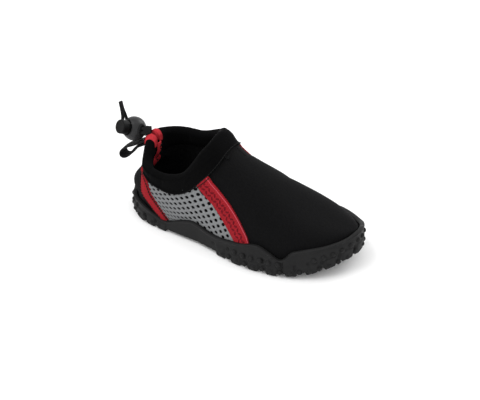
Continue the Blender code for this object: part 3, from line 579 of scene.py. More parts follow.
class FabricSettings(bpy.types.PropertyGroup):
    """Sizes and colours of the upper's fabrics."""

    neoprene_colour: FloatVectorProperty(
        name="Neoprene colour", description="Colour of the vamp, sides and heel",
        subtype="COLOR", size=3, min=0, max=1, default=(0.0030, 0.0030, 0.0032),
    )
    collar_colour: FloatVectorProperty(
        name="Collar colour", description="Colour of the padded band round the mouth",
        subtype="COLOR", size=3, min=0, max=1, default=(0.0016, 0.0016, 0.0017),
    )
    lining_colour: FloatVectorProperty(
        name="Lining colour", description="Colour of the lining inside the shoe",
        subtype="COLOR", size=3, min=0, max=1, default=(0.0030, 0.0030, 0.0032),
    )
    tape_colour: FloatVectorProperty(
        name="Tape colour", description="Colour of the ribbons and pipings",
        subtype="COLOR", size=3, min=0, max=1, default=(0.28, 0.010, 0.016),
    )
    binding_colour: FloatVectorProperty(
        name="Binding colour", description="Colour of the collar's bound ends and the heel tape",
        subtype="COLOR", size=3, min=0, max=1, default=(0.46, 0.026, 0.036),
    )
    mesh_colour: FloatVectorProperty(
        name="Mesh colour", description="Colour of the side mesh's strands",
        subtype="COLOR", size=3, min=0, max=1, default=(0.205, 0.21, 0.215),
    )
    hole_share: FloatProperty(
        name="Hole share", description="Width of a mesh hole as a share of its cell",
        min=0.1, max=0.9, default=0.64,
    )
    mesh_thickness: FloatProperty(
        name="Mesh thickness", description="Thickness of the side mesh",
        subtype="DISTANCE", unit="LENGTH", min=0.0002, default=0.0009,
    )
    ribbon_thickness: FloatProperty(
        name="Ribbon thickness", description="Thickness of the wide front ribbon",
        subtype="DISTANCE", unit="LENGTH", min=0.0002, default=0.0014,
    )
    piping_thickness: FloatProperty(
        name="Piping thickness", description="Height of the rear piping's crown",
        subtype="DISTANCE", unit="LENGTH", min=0.0002, default=0.0021,
    )


class StitchSettings(bpy.types.PropertyGroup):
    """Sizes of the seam round the collar."""

    stitch_length: FloatProperty(
        name="Stitch length", description="Length of one visible stitch",
        subtype="DISTANCE", unit="LENGTH", min=0.0005, default=0.0020,
    )
    stitch_pitch: FloatProperty(
        name="Stitch pitch", description="Distance from one stitch to the next along a seam",
        subtype="DISTANCE", unit="LENGTH", min=0.0006, default=0.0021,
    )
    thread_radius: FloatProperty(
        name="Thread radius", description="Half the thread's thickness",
        subtype="DISTANCE", unit="LENGTH", min=0.00005, default=0.00034,
    )


class RubberSettings(bpy.types.PropertyGroup):
    """Sizes and colour of the outsole."""

    rubber_colour: FloatVectorProperty(
        name="Rubber colour", description="Colour of the outsole",
        subtype="COLOR", size=3, min=0, max=1, default=(0.0070, 0.0070, 0.0072),
    )
    tread_height: FloatProperty(
        name="Tread height", description="Height of the small tread blocks under the sole",
        subtype="DISTANCE", unit="LENGTH", min=0.0002, default=0.0015,
    )
    tread_pitch: FloatProperty(
        name="Tread pitch", description="Distance between the small tread blocks",
        subtype="DISTANCE", unit="LENGTH", min=0.002, default=0.0062,
    )


class HardwareSettings(bpy.types.PropertyGroup):
    """Finish of the cord lock and the cords."""

    ball_colour: FloatVectorProperty(
        name="Ball colour", description="Colour of the cord lock's ball",
        subtype="COLOR", size=3, min=0, max=1, default=(0.020, 0.020, 0.021),
    )
    button_colour: FloatVectorProperty(
        name="Button colour", description="Colour of the cord lock's push button",
        subtype="COLOR", size=3, min=0, max=1, default=(0.006, 0.006, 0.0062),
    )
    cord_colour: FloatVectorProperty(
        name="Cord colour", description="Colour of the elastic cord",
        subtype="COLOR", size=3, min=0, max=1, default=(0.010, 0.010, 0.0105),
    )
    webbing_colour: FloatVectorProperty(
        name="Webbing colour", description="Colour of the pull loop",
        subtype="COLOR", size=3, min=0, max=1, default=(0.0045, 0.0045, 0.0048),
    )
    cord_sides: IntProperty(
        name="Cord sides", description="Number of faces round a cord", min=6, max=48, default=20,
    )


class StageSettings(bpy.types.PropertyGroup):
    """Floor and light."""

    floor_colour: FloatVectorProperty(
        name="Floor colour", description="Colour of the plain floor",
        subtype="COLOR", size=3, min=0, max=1, default=(0.96, 0.96, 0.96),
    )
    key_power: FloatProperty(
        name="Key power", description="Power of the large soft light", subtype="POWER", min=0, default=14.0,
    )
    sky_strength: FloatProperty(
        name="Sky strength", description="Strength of the even light from all round", min=0, default=1.05,
    )


def in_frame(spot):
    """A point given from the back of the heel, in the shoe's frame."""
    return Vector(spot) + HEEL


# Materials

WEAR_START = 0.42
THREADS = {
    "dark_thread": (0.006, 0.006, 0.006),
    "red_thread": (0.110, 0.002, 0.007),
    "pink_thread": (0.46, 0.060, 0.085),
}
SHARED_GROUPS = {}
MATERIALS = {}


def add_node(tree, kind, **values):
    """A node with its options and, by socket name, its unlinked values set."""
    made = tree.nodes.new(kind)
    for name, value in values.items():
        if hasattr(made, name):
            setattr(made, name, value)
        else:
            made.inputs[name.replace("_", " ").title()].default_value = value
    return made


def group_node(tree, group, **values):
    """A placed shader group with its unlinked inputs set."""
    made = tree.nodes.new("ShaderNodeGroup")
    made.node_tree = group
    for name, value in values.items():
        made.inputs[name.replace("_", " ").capitalize()].default_value = value
    return made


def new_group(name, inputs, outputs):
    """A shader group with named float, vector or colour sockets, and its two end nodes."""
    kinds = {"float": "NodeSocketFloat", "vector": "NodeSocketVector", "colour": "NodeSocketColor"}
    group = bpy.data.node_groups.new(name, "ShaderNodeTree")
    for label, kind in inputs:
        group.interface.new_socket(label, in_out="INPUT", socket_type=kinds[kind])
    for label, kind in outputs:
        group.interface.new_socket(label, in_out="OUTPUT", socket_type=kinds[kind])
    return group, group.nodes.new("NodeGroupInput"), group.nodes.new("NodeGroupOutput")


def maths(tree, operation, *values):
    """A Math node fed with sockets or numbers. Returns its result socket."""
    made = tree.nodes.new("ShaderNodeMath")
    made.operation = operation
    for socket, value in zip(made.inputs, values):
        if hasattr(value, "is_output"):
            tree.links.new(value, socket)
        else:
            socket.default_value = value
    return made.outputs[0]


def knit_group():
    """Fine uneven loops of a knitted face: height, and a mask that lightens its high spots: random fuzz
    tone that is also a painted highlight on the raised fuzz.
    """
    group, start, end = new_group(
        "knit_face", [("Vector", "vector"), ("Scale", "float"), ("Fuzz", "float")],
        [("Height", "float"), ("Shade", "float")],
    )
    loops = add_node(group, "ShaderNodeTexVoronoi", feature="SMOOTH_F1")
    fuzz = add_node(group, "ShaderNodeTexNoise", detail=5.0)
    group.links.new(start.outputs["Vector"], loops.inputs["Vector"])
    group.links.new(start.outputs["Scale"], loops.inputs["Scale"])
    group.links.new(start.outputs["Vector"], fuzz.inputs["Vector"])
    group.links.new(maths(group, "MULTIPLY", start.outputs["Scale"], 0.45), fuzz.inputs["Scale"])
    loop_height = maths(group, "SUBTRACT", 1.0, loops.outputs["Distance"])
    fuzz_height = maths(group, "MULTIPLY", fuzz.outputs["Fac"], start.outputs["Fuzz"])
    group.links.new(maths(group, "ADD", loop_height, fuzz_height), end.inputs["Height"])
    # Shade: random fuzz tone, lighter where the fuzz stands high, a painted highlight
    group.links.new(fuzz.outputs["Fac"], end.inputs["Shade"])
    return group


def weave_group():
    """Ribs across a tape or threads of a cloth, in its own UV in metres: height and shade, the shade a
    painted highlight on the thread crowns and painted shade in the gaps, with random fuzz tone.
    """
    group, start, end = new_group(
        "tape_weave", [("Vector", "vector"), ("Across", "float"), ("Along", "float")],
        [("Height", "float"), ("Shade", "float")],
    )
    split = group.nodes.new("ShaderNodeSeparateXYZ")
    group.links.new(start.outputs["Vector"], split.inputs[0])
    across = maths(group, "SINE", maths(group, "MULTIPLY", split.outputs["X"], start.outputs["Across"]))
    along = maths(group, "SINE", maths(group, "MULTIPLY", split.outputs["Y"], start.outputs["Along"]))
    threads = maths(group, "MULTIPLY", across, along)
    fuzz = add_node(group, "ShaderNodeTexNoise", scale=900.0, detail=3.0)
    group.links.new(start.outputs["Vector"], fuzz.inputs["Vector"])
    height = maths(group, "ADD", maths(group, "MULTIPLY", threads, 0.5), fuzz.outputs["Fac"])
    group.links.new(height, end.inputs["Height"])
    # Shade: thread crowns lighter and gaps darker, painted highlight and shade, plus random fuzz tone
    group.links.new(maths(group, "ADD", maths(group, "MULTIPLY", threads, 0.25), fuzz.outputs["Fac"]),
                    end.inputs["Shade"])
    return group


def wear_group():
    """Broad uneven patches of dust and rubbing, as a mask from 0 to 1."""
    group, start, end = new_group(
        "handling_wear", [("Vector", "vector"), ("Scale", "float"), ("Spread", "float")],
        [("Mask", "float")],
    )
    broad = add_node(group, "ShaderNodeTexNoise", detail=6.0, roughness=0.65)
    group.links.new(start.outputs["Vector"], broad.inputs["Vector"])
    group.links.new(start.outputs["Scale"], broad.inputs["Scale"])
    ramp = add_node(group, "ShaderNodeMapRange", interpolation_type="SMOOTHSTEP", from_min=WEAR_START)
    group.links.new(broad.outputs["Fac"], ramp.inputs["Value"])
    group.links.new(maths(group, "ADD", WEAR_START, start.outputs["Spread"]), ramp.inputs["From Max"])
    group.links.new(ramp.outputs["Result"], end.inputs["Mask"])
    return group


def shared(builder):
    """The shader group that a builder makes, built once."""
    if builder.__name__ not in SHARED_GROUPS:
        SHARED_GROUPS[builder.__name__] = builder()
    return SHARED_GROUPS[builder.__name__]


def new_material(name, colour, roughness):
    """A material with its Principled shader's plain values set on its own sockets."""
    material = bpy.data.materials.new(name)
    material.use_nodes = True
    tree = material.node_tree
    shader = tree.nodes["Principled BSDF"]
    shader.inputs["Base Color"].default_value = (*colour, 1.0)
    shader.inputs["Roughness"].default_value = roughness
    return material, tree, shader


def tint(tree, shader, mask, colour, dark, light):
    """Base colour between dark and light times the colour, by a mask."""
    mix = tree.nodes.new("ShaderNodeMix")
    mix.data_type = "RGBA"
    mix.inputs["A"].default_value = (*(c * dark for c in colour), 1.0)
    mix.inputs["B"].default_value = (*(min(1.0, c * light) for c in colour), 1.0)
    tree.links.new(mask, mix.inputs["Factor"])
    tree.links.new(mix.outputs["Result"], shader.inputs["Base Color"])


def bump(tree, shader, height, strength, distance):
    """Feeds a height through a Bump node into the shader's normal."""
    made = add_node(tree, "ShaderNodeBump", strength=strength, distance=distance)
    tree.links.new(height, made.inputs["Height"])
    tree.links.new(made.outputs["Normal"], shader.inputs["Normal"])


def coordinates(tree, label):
    """A Texture Coordinate output."""
    return tree.nodes.new("ShaderNodeTexCoord").outputs[label]


def knitted(name, colour, scale, fuzz, strength, distance, sheen=0.045, specular=0.06):
    """Neoprene's knitted face or a brushed lining."""
    material, tree, shader = new_material(name, colour, 0.95)
    shader.inputs["Specular IOR Level"].default_value = specular
    shader.inputs["Sheen Weight"].default_value = sheen
    shader.inputs["Sheen Roughness"].default_value = 0.6
    shader.inputs["Sheen Tint"].default_value = (0.35, 0.35, 0.36, 1.0)
    face = group_node(tree, shared(knit_group), scale=scale, fuzz=fuzz)
    tree.links.new(coordinates(tree, "Object"), face.inputs["Vector"])
    # Base colour lighter on the knit's raised fuzz: painted highlight, with random tone
    tint(tree, shader, face.outputs["Shade"], colour, 0.55, 1.6)
    bump(tree, shader, face.outputs["Height"], strength, distance)
    return material


def woven(name, colour, across, along, strength, distance, dark=0.6, light=1.4):
    """Tape, webbing or mesh yarn with its threads along the piece's own UV."""
    material, tree, shader = new_material(name, colour, 0.8)
    shader.inputs["Specular IOR Level"].default_value = 0.12
    face = group_node(tree, shared(weave_group), across=across, along=along)
    tree.links.new(coordinates(tree, "UV"), face.inputs["Vector"])
    # Base colour lighter on thread crowns and darker in the gaps: painted highlight and shade, with random
    # tone
    tint(tree, shader, face.outputs["Shade"], colour, dark, light)
    bump(tree, shader, face.outputs["Height"], strength, distance)
    return material


def moulded(name, colour, roughness, grain, dust, specular=0.16):
    """Rubber or plastic with a fine spark-eroded grain and uneven handling."""
    material, tree, shader = new_material(name, colour, roughness)
    shader.inputs["Specular IOR Level"].default_value = specular
    place = coordinates(tree, "Object")
    wear = group_node(tree, shared(wear_group), scale=grain * 0.06, spread=0.3)
    tree.links.new(place, wear.inputs["Vector"])
    tint(tree, shader, wear.outputs["Mask"], colour, 1.0, dust)
    fine = add_node(tree, "ShaderNodeTexNoise", scale=grain, detail=4.0)
    tree.links.new(place, fine.inputs["Vector"])
    level = add_node(tree, "ShaderNodeMapRange", to_min=roughness - 0.08, to_max=roughness + 0.12)
    tree.links.new(wear.outputs["Mask"], level.inputs["Value"])
    tree.links.new(level.outputs["Result"], shader.inputs["Roughness"])
    bump(tree, shader, fine.outputs["Fac"], 0.35, 0.0002)
    return material


def make_materials():
    """Every fabric, thread, rubber and plastic of the shoe, from the settings' colours."""
    fabric, hardware = bpy.context.scene.shoe_fabric, bpy.context.scene.shoe_hardware
    neoprene, collar = tuple(fabric.neoprene_colour), tuple(fabric.collar_colour)
    lining, tape = tuple(fabric.lining_colour), tuple(fabric.tape_colour)
    binding, net = tuple(fabric.binding_colour), tuple(fabric.mesh_colour)
    rubber = tuple(bpy.context.scene.shoe_rubber.rubber_colour)
    ball, button = tuple(hardware.ball_colour), tuple(hardware.button_colour)
    webbing, cord = tuple(hardware.webbing_colour), tuple(hardware.cord_colour)
    made = {
        "neoprene": knitted(
            "neoprene_knit", neoprene, scale=1500.0, fuzz=0.9, strength=0.5, distance=0.0003,
        ),
        "collar": knitted(
            "collar_neoprene", collar, scale=1300.0, fuzz=1.2, strength=0.55, distance=0.0003, sheen=0.018,
            specular=0.035,
        ),
        "lining": knitted("brushed_lining", lining, scale=900.0, fuzz=2.0, strength=0.7, distance=0.0005),
        "footbed": knitted("footbed_cloth", lining, scale=1100.0, fuzz=1.2, strength=0.6, distance=0.0004),
        "tape": woven(
            "red_woven_tape", tape, across=2600.0, along=4200.0, strength=0.7, distance=0.00025, dark=0.55,
            light=1.25,
        ),
        "binding": woven(
            "red_binding", binding, across=5200.0, along=5200.0, strength=0.6, distance=0.0002, light=1.25,
        ),
        "mesh": woven(
            "grey_mesh_yarn", net, across=5600.0, along=5600.0, strength=0.8, distance=0.0003, light=1.3,
        ),
        "webbing": woven(
            "black_webbing", webbing, across=4000.0, along=3000.0, strength=0.9, distance=0.0003, dark=0.5,
            light=2.0,
        ),
        "cord": woven(
            "braided_cord", cord, across=5000.0, along=5000.0, strength=0.8, distance=0.0003, light=1.5,
        ),
        "rubber": moulded("sole_rubber_moulded", rubber, roughness=0.62, grain=1500.0, dust=1.9),
        "ball": moulded("lock_ball_plastic", ball, roughness=0.34, grain=2400.0, dust=1.35, specular=0.2),
        "button": moulded(
            "lock_button_plastic", button, roughness=0.5, grain=2400.0, dust=1.3, specular=0.08,
        ),
    }
    for name, colour in THREADS.items():
        made[name] = woven(name, colour, across=9000.0, along=9000.0, strength=0.5, distance=0.0001)
    MATERIALS.update(made)


# Meshes


def mesh_piece(name, points, faces, material, uv=None, smooth_angle=60):
    """A closed mesh object in the shoe's frame. uv gives one pair in metres for each point."""
    mesh = bpy.data.meshes.new(name)
    mesh.from_pydata([tuple(p) for p in points], [], [tuple(f) for f in faces])
    if uv is not None:
        layer = mesh.uv_layers.new(name="fabric")
        corners = np.empty(len(mesh.loops), np.int32)
        mesh.loops.foreach_get("vertex_index", corners)
        layer.data.foreach_set("uv", np.asarray(uv, np.float32)[corners].ravel())
    shape = bmesh.new()
    shape.from_mesh(mesh)
    bmesh.ops.remove_doubles(shape, verts=shape.verts, dist=1e-6)
    bmesh.ops.dissolve_degenerate(shape, edges=shape.edges, dist=1e-7)
    bmesh.ops.recalc_face_normals(shape, faces=shape.faces)
    shape.to_mesh(mesh)
    shape.free()
    mesh.shade_smooth()
    mesh.set_sharp_from_angle(angle=math.radians(smooth_angle))
    mesh.materials.append(MATERIALS[material])
    made = bpy.data.objects.new(name, mesh)
    bpy.context.collection.objects.link(made)
    return made


def settle(piece, slot, *nodes, body="shoe"):
    """Puts a finished piece on its body, in place of the solids it stands for."""
    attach(piece, body)
    if nodes:
        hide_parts(*nodes)
    return piece


def grid_faces(rows, columns, closed_rows=False, closed_columns=False, start=0):
    """Quads of a grid stored row by row."""
    r = np.arange(rows if closed_rows else rows - 1)
    c = np.arange(columns if closed_columns else columns - 1)
    r, c = np.meshgrid(r, c, indexing="ij")
    r, c = r.ravel(), c.ravel()
    down, across = (r + 1) % rows, (c + 1) % columns
    quads = [r * columns + c, down * columns + c, down * columns + across, r * columns + across]
    return (np.stack(quads, axis=1) + start).tolist()


def ring_faces(rings, size):
    """Faces of rings joined one after another, with both ends closed."""
    faces = grid_faces(rings, size, closed_columns=True)
    return faces + [list(range(size)), list(range((rings - 1) * size, rings * size))]


def crossing_faces(total, size, last):
    """Strips across the shoe that close the first and the last row of a loop of columns."""
    faces = []
    for row in (0, size - 1):
        for k in range(last):
            far_a = 0 if k == 0 else total - k
            far_b = last if k + 1 == last else total - k - 1
            faces.append([c * size + row for c in dict.fromkeys((k, k + 1, far_b, far_a))])
    return faces


def closed_sheet(upper, lower):
    """Points and faces of a closed body between two equal grids of points (rows, columns, 3)."""
    rows, columns = upper.shape[:2]
    layer = rows * columns
    faces = grid_faces(rows, columns) + grid_faces(rows, columns, start=layer)
    ring = [(0, c) for c in range(columns - 1)] + [(r, columns - 1) for r in range(rows - 1)]
    ring += [(rows - 1, c) for c in range(columns - 1, 0, -1)] + [(r, 0) for r in range(rows - 1, 0, -1)]
    around = [r * columns + c for r, c in ring]
    for a, b in zip(around, around[1:] + around[:1]):
        faces.append([a, b, b + layer, a + layer])
    return np.concatenate([upper.reshape(-1, 3), lower.reshape(-1, 3)]), faces


def relief(spots, creases, side):
    """Depth of the listed creases at points given in the shoe's frame."""
    depth = np.zeros(len(spots))
    for crease in creases:
        if crease.side != side:
            continue
        centre = np.array(skin(crease.x, crease.height, side))
        turn = math.radians(crease.turn)
        away = spots - centre
        along = away[:, 0] * math.cos(turn) + away[:, 2] * math.sin(turn)
        across = -away[:, 0] * math.sin(turn) + away[:, 2] * math.cos(turn)
        far = (along / (crease.length / 2)) ** 2 + (away[:, 1] / CREASE_SPREAD) ** 2
        depth += crease.depth * np.exp(-far * 1.2) * np.exp(-((across / (crease.width / 2)) ** 2))
    return depth


def unevenness(spots, swells):
    """Slow seeded swells, as sewn fabric has."""
    return np.array([noise.noise(Vector(p) / swells.size) for p in spots]) * swells.amount


def rotation_frames(path):
    """Tangent, side and up at each point of a path, turned as little as possible."""
    tangents = unit(np.gradient(path, axis=0))
    up = np.array([0.0, 0.0, 1.0])
    if abs(tangents[0] @ up) > 0.9:
        up = np.array([0.0, 1.0, 0.0])
    sides, ups = [], []
    for tangent in tangents:
        up = up - tangent * (up @ tangent)
        up /= np.linalg.norm(up)
        sides.append(np.cross(tangent, up))
        ups.append(up.copy())
    return tangents, np.array(sides), np.array(ups)


def tube(name, path, radius, sides, material):
    """A round closed tube along a path of points, with domed ends."""
    path = np.asarray(path, float)
    tangents, across, ups = rotation_frames(path)
    lengths = run_along(path)
    points, uv = [], []
    stations = [(0, -ahead, share) for ahead, share in reversed(TUBE_DOME)]
    stations += [(k, 0.0, 1.0) for k in range(len(path))]
    stations += [(len(path) - 1, ahead, share) for ahead, share in TUBE_DOME]
    for k, ahead, share in stations:
        for n in range(sides):
            turn = 2 * math.pi * n / sides
            spoke = across[k] * math.cos(turn) + ups[k] * math.sin(turn)
            points.append(path[k] + tangents[k] * ahead * radius + spoke * radius * share)
            uv.append((turn * radius, lengths[k]))
    return mesh_piece(name, points, ring_faces(len(stations), sides), material, uv)


def curve_points(knots, steps):
    """Points along a smooth curve through the knots."""
    knots = [np.asarray(k, float) for k in knots]
    found = []
    for i in range(len(knots) - 1):
        before, a, b = knots[max(0, i - 1)], knots[i], knots[i + 1]
        after = knots[min(len(knots) - 1, i + 2)]
        for k in range(steps):
            t = k / steps
            found.append(0.5 * (2 * a + (b - before) * t + (2 * before - 5 * a + 4 * b - after) * t * t
                                + (3 * a - before - 3 * b + after) * t ** 3))
    return np.array(found + [knots[-1]])


# Geometry Nodes


def geometry_tree(name, inputs):
    """A Geometry Nodes tree with one geometry in and out, and named inputs with their kinds."""
    kinds = {"float": "NodeSocketFloat", "material": "NodeSocketMaterial", "integer": "NodeSocketInt"}
    tree = bpy.data.node_groups.new(name, "GeometryNodeTree")
    tree.interface.new_socket("Geometry", in_out="INPUT", socket_type="NodeSocketGeometry")
    for label, kind in inputs:
        tree.interface.new_socket(label, in_out="INPUT", socket_type=kinds[kind])
    tree.interface.new_socket("Geometry", in_out="OUTPUT", socket_type="NodeSocketGeometry")
    return tree, tree.nodes.new("NodeGroupInput"), tree.nodes.new("NodeGroupOutput")


def finish_tree(tree, start, geometry, end):
    """Ends a tree in realized instances with their material."""
    realize = tree.nodes.new("GeometryNodeRealizeInstances")
    paint = tree.nodes.new("GeometryNodeSetMaterial")
    tree.links.new(geometry, realize.inputs[0])
    tree.links.new(realize.outputs[0], paint.inputs["Geometry"])
    tree.links.new(start.outputs["Material"], paint.inputs["Material"])
    tree.links.new(paint.outputs[0], end.inputs[0])


def stitch_tree():
    """Stitches along every path of a wire mesh. Its points carry face, the way out of the cloth."""
    tree, start, end = geometry_tree(
        "seam_stitches",
        [("Pitch", "float"), ("Length", "float"), ("Radius", "float"), ("Slant", "float"),
         ("Material", "material")],
    )
    path = tree.nodes.new("GeometryNodeMeshToCurve")
    spread = add_node(tree, "GeometryNodeResampleCurve", mode="LENGTH")
    tree.links.new(start.outputs["Geometry"], path.inputs[0])
    tree.links.new(path.outputs[0], spread.inputs["Curve"])
    tree.links.new(start.outputs["Pitch"], spread.inputs["Length"])

    stitch = add_node(tree, "GeometryNodeMeshUVSphere", segments=6, rings=5, radius=1.0)
    half = maths(tree, "MULTIPLY", start.outputs["Length"], 0.5)
    size = tree.nodes.new("ShaderNodeCombineXYZ")
    tree.links.new(start.outputs["Radius"], size.inputs["X"])
    tree.links.new(start.outputs["Radius"], size.inputs["Y"])
    tree.links.new(half, size.inputs["Z"])

    along = tree.nodes.new("GeometryNodeInputTangent")
    out = add_node(tree, "GeometryNodeInputNamedAttribute", data_type="FLOAT_VECTOR")
    out.inputs["Name"].default_value = "face"
    lay = add_node(tree, "FunctionNodeAxesToRotation", primary_axis="Z", secondary_axis="X")
    tree.links.new(along.outputs[0], lay.inputs[0])
    tree.links.new(out.outputs["Attribute"], lay.inputs[1])

    number = tree.nodes.new("GeometryNodeInputIndex")
    lean = tree.nodes.new("ShaderNodeMapRange")
    tree.links.new(maths(tree, "MODULO", number.outputs[0], 2.0), lean.inputs["Value"])
    tree.links.new(start.outputs["Slant"], lean.inputs["To Max"])
    tree.links.new(maths(tree, "MULTIPLY", start.outputs["Slant"], -1.0), lean.inputs["To Min"])
    slant = add_node(tree, "FunctionNodeAxisAngleToRotation", axis=(1.0, 0.0, 0.0))
    tree.links.new(lean.outputs["Result"], slant.inputs["Angle"])
    turn = add_node(tree, "FunctionNodeRotateRotation", rotation_space="LOCAL")
    tree.links.new(lay.outputs[0], turn.inputs["Rotation"])
    tree.links.new(slant.outputs[0], turn.inputs["Rotate By"])

    place = tree.nodes.new("GeometryNodeInstanceOnPoints")
    tree.links.new(spread.outputs[0], place.inputs["Points"])
    tree.links.new(stitch.outputs["Mesh"], place.inputs["Instance"])
    tree.links.new(turn.outputs[0], place.inputs["Rotation"])
    tree.links.new(size.outputs[0], place.inputs["Scale"])
    finish_tree(tree, start, place.outputs[0], end)
    return tree


def mesh_cloth_tree():
    """Turns each quad of a sheet into a cell with a hole, then gives the net its thickness."""
    tree, start, end = geometry_tree(
        "holed_cloth", [("Hole share", "float"), ("Thickness", "float"), ("Material", "material")]
    )
    inset = add_node(tree, "GeometryNodeExtrudeMesh", mode="FACES", individual=True, offset_scale=0.0)
    tree.links.new(start.outputs["Geometry"], inset.inputs["Mesh"])
    shrink = tree.nodes.new("GeometryNodeScaleElements")
    tree.links.new(inset.outputs["Mesh"], shrink.inputs["Geometry"])
    tree.links.new(inset.outputs["Top"], shrink.inputs["Selection"])
    tree.links.new(start.outputs["Hole share"], shrink.inputs["Scale"])
    open_up = add_node(tree, "GeometryNodeDeleteGeometry", domain="FACE", mode="ALL")
    tree.links.new(shrink.outputs[0], open_up.inputs["Geometry"])
    tree.links.new(inset.outputs["Top"], open_up.inputs["Selection"])
    merge = add_node(tree, "GeometryNodeMergeByDistance", distance=MERGE_DISTANCE)
    tree.links.new(open_up.outputs[0], merge.inputs["Geometry"])
    thick = add_node(tree, "GeometryNodeExtrudeMesh", mode="FACES", individual=False)
    tree.links.new(merge.outputs[0], thick.inputs["Mesh"])
    tree.links.new(start.outputs["Thickness"], thick.inputs["Offset Scale"])
    under = tree.nodes.new("GeometryNodeFlipFaces")
    tree.links.new(merge.outputs[0], under.inputs["Mesh"])
    both = tree.nodes.new("GeometryNodeJoinGeometry")
    tree.links.new(thick.outputs["Mesh"], both.inputs[0])
    tree.links.new(under.outputs[0], both.inputs[0])
    closed = add_node(tree, "GeometryNodeMergeByDistance", distance=MERGE_DISTANCE)
    tree.links.new(both.outputs[0], closed.inputs["Geometry"])
    soften = add_node(tree, "GeometryNodeSubdivisionSurface", level=1)
    tree.links.new(closed.outputs[0], soften.inputs["Mesh"])
    smooth_faces = tree.nodes.new("GeometryNodeSetShadeSmooth")
    tree.links.new(soften.outputs[0], smooth_faces.inputs["Geometry"])
    finish_tree(tree, start, smooth_faces.outputs[0], end)
    return tree


def run_tree(source, tree, name, **values):
    """Runs a tree on a helper object and returns its result as a plain mesh object."""
    worker = source.modifiers.new("tree", "NODES")
    worker.node_group = tree
    for item in tree.interface.items_tree:
        if item.item_type == "SOCKET" and item.in_out == "INPUT":
            key = item.name.lower().replace(" ", "_")
            if key in values:
                worker[item.identifier] = values[key]
    graph = bpy.context.evaluated_depsgraph_get()
    mesh = bpy.data.meshes.new_from_object(source.evaluated_get(graph), depsgraph=graph)
    mesh.name = name
    bpy.data.objects.remove(source)
    made = bpy.data.objects.new(name, mesh)
    bpy.context.collection.objects.link(made)
    return made


def helper(name, points, edges=()):
    """An object of bare points and edges for a tree to work on."""
    mesh = bpy.data.meshes.new(name)
    mesh.from_pydata(points, edges, [])
    made = bpy.data.objects.new(name, mesh)
    bpy.context.collection.objects.link(made)
    return made


def wire(name, paths):
    """A helper object of open paths, each (points, ways out of the cloth)."""
    points, edges, faces_out = [], [], []
    for spots, out in paths:
        first = len(points)
        points += [tuple(p) for p in spots]
        faces_out += [tuple(o) for o in out]
        edges += [(first + k, first + k + 1) for k in range(len(spots) - 1)]
    made = helper(name, points, edges)
    layer = made.data.attributes.new("face", "FLOAT_VECTOR", "POINT")
    layer.data.foreach_set("vector", np.array(faces_out, np.float32).ravel())
    return made


def skin_path(xs, heights, side, proud):
    """A path over the upper's skin and the way out of it at each point."""
    here = skin(xs, heights, side, proud)
    out = skin(xs, heights, side, np.asarray(proud) + PROBE) - here
    return here, unit(out)


# Upper


def build_upper():
    """Neoprene shell from heel to toe, lined inside, with its listed creases."""
    ways = np.linspace(0.0, 1.0, UPPER_WAYS)
    seam_x = SEAM_FRONT * (1 - np.cos(math.pi * ways)) / 2
    ahead = blend(SEAM_FRONT, LAST_LENGTH, np.sin(np.linspace(0.0, math.pi / 2, UPPER_COLUMNS)[1:]))
    xs = np.concatenate([seam_x, ahead])
    rows = np.linspace(0.0, 1.0, UPPER_ROWS)
    points, faces = [], []
    for side in (OUTER, INNER):
        tops = steepness(seam_x, edge_height(0.0, ways, side))
        tops = np.concatenate([tops[:-1], np.full(len(ahead) + 1, math.pi / 2)])
        angle = np.outer(tops, rows)
        grid_x = np.repeat(xs[:, None], len(rows), axis=1)
        spots = skin(grid_x, 0.0, side, 0.0, angle).reshape(-1, 3)
        swell = relief(spots, UPPER_CREASES, side) + unevenness(spots, UPPER_SWELLS)
        ends = smooth((LAST_LENGTH - xs) / END_FADE) * smooth(xs / END_FADE)
        swell = swell.reshape(grid_x.shape) * ends[:, None] * smooth((1 - rows) / 0.06)
        faces += grid_faces(*grid_x.shape, start=sum(len(p) for p in points))
        points.append(skin(grid_x, 0.0, side, swell, angle).reshape(-1, 3))
    upper = mesh_piece("upper_shell", np.concatenate(points), faces, "neoprene", smooth_angle=60)
    face_outward(upper, SHOE_INSIDE)
    upper.data.materials.append(MATERIALS["lining"])
    wall = upper.modifiers.new("wall", "SOLIDIFY")
    wall.thickness = WALL
    wall.offset = -1.0
    wall.use_even_offset = True
    wall.material_offset = 1
    return settle(upper, "neoprene", "upper")


def face_outward(made, inside):
    """Turns an open sheet's faces away from a point inside the shoe."""
    mesh = made.data
    if sum((p.center - inside).dot(p.normal) * p.area for p in mesh.polygons) < 0:
        mesh.flip_normals()


# Collar


def band_depth(level):
    """Depth of the band's inside under the last's skin, from the wall at its seam to the roll."""
    inside = 2 * ROLL_RADIUS - COLLAR_BULGE
    return through(((0.02, WALL), (0.2, blend(WALL, inside, 0.65)), (0.4, inside)), level)


def way_at(level, y):
    """How far round a collar line, from the heel, its distance from the middle reaches y."""
    ways = np.linspace(0.0, 0.5, 2001)
    return float(np.interp(y, np.abs(edge_point(level, ways, INNER)[:, 1] - HEEL.y), ways))


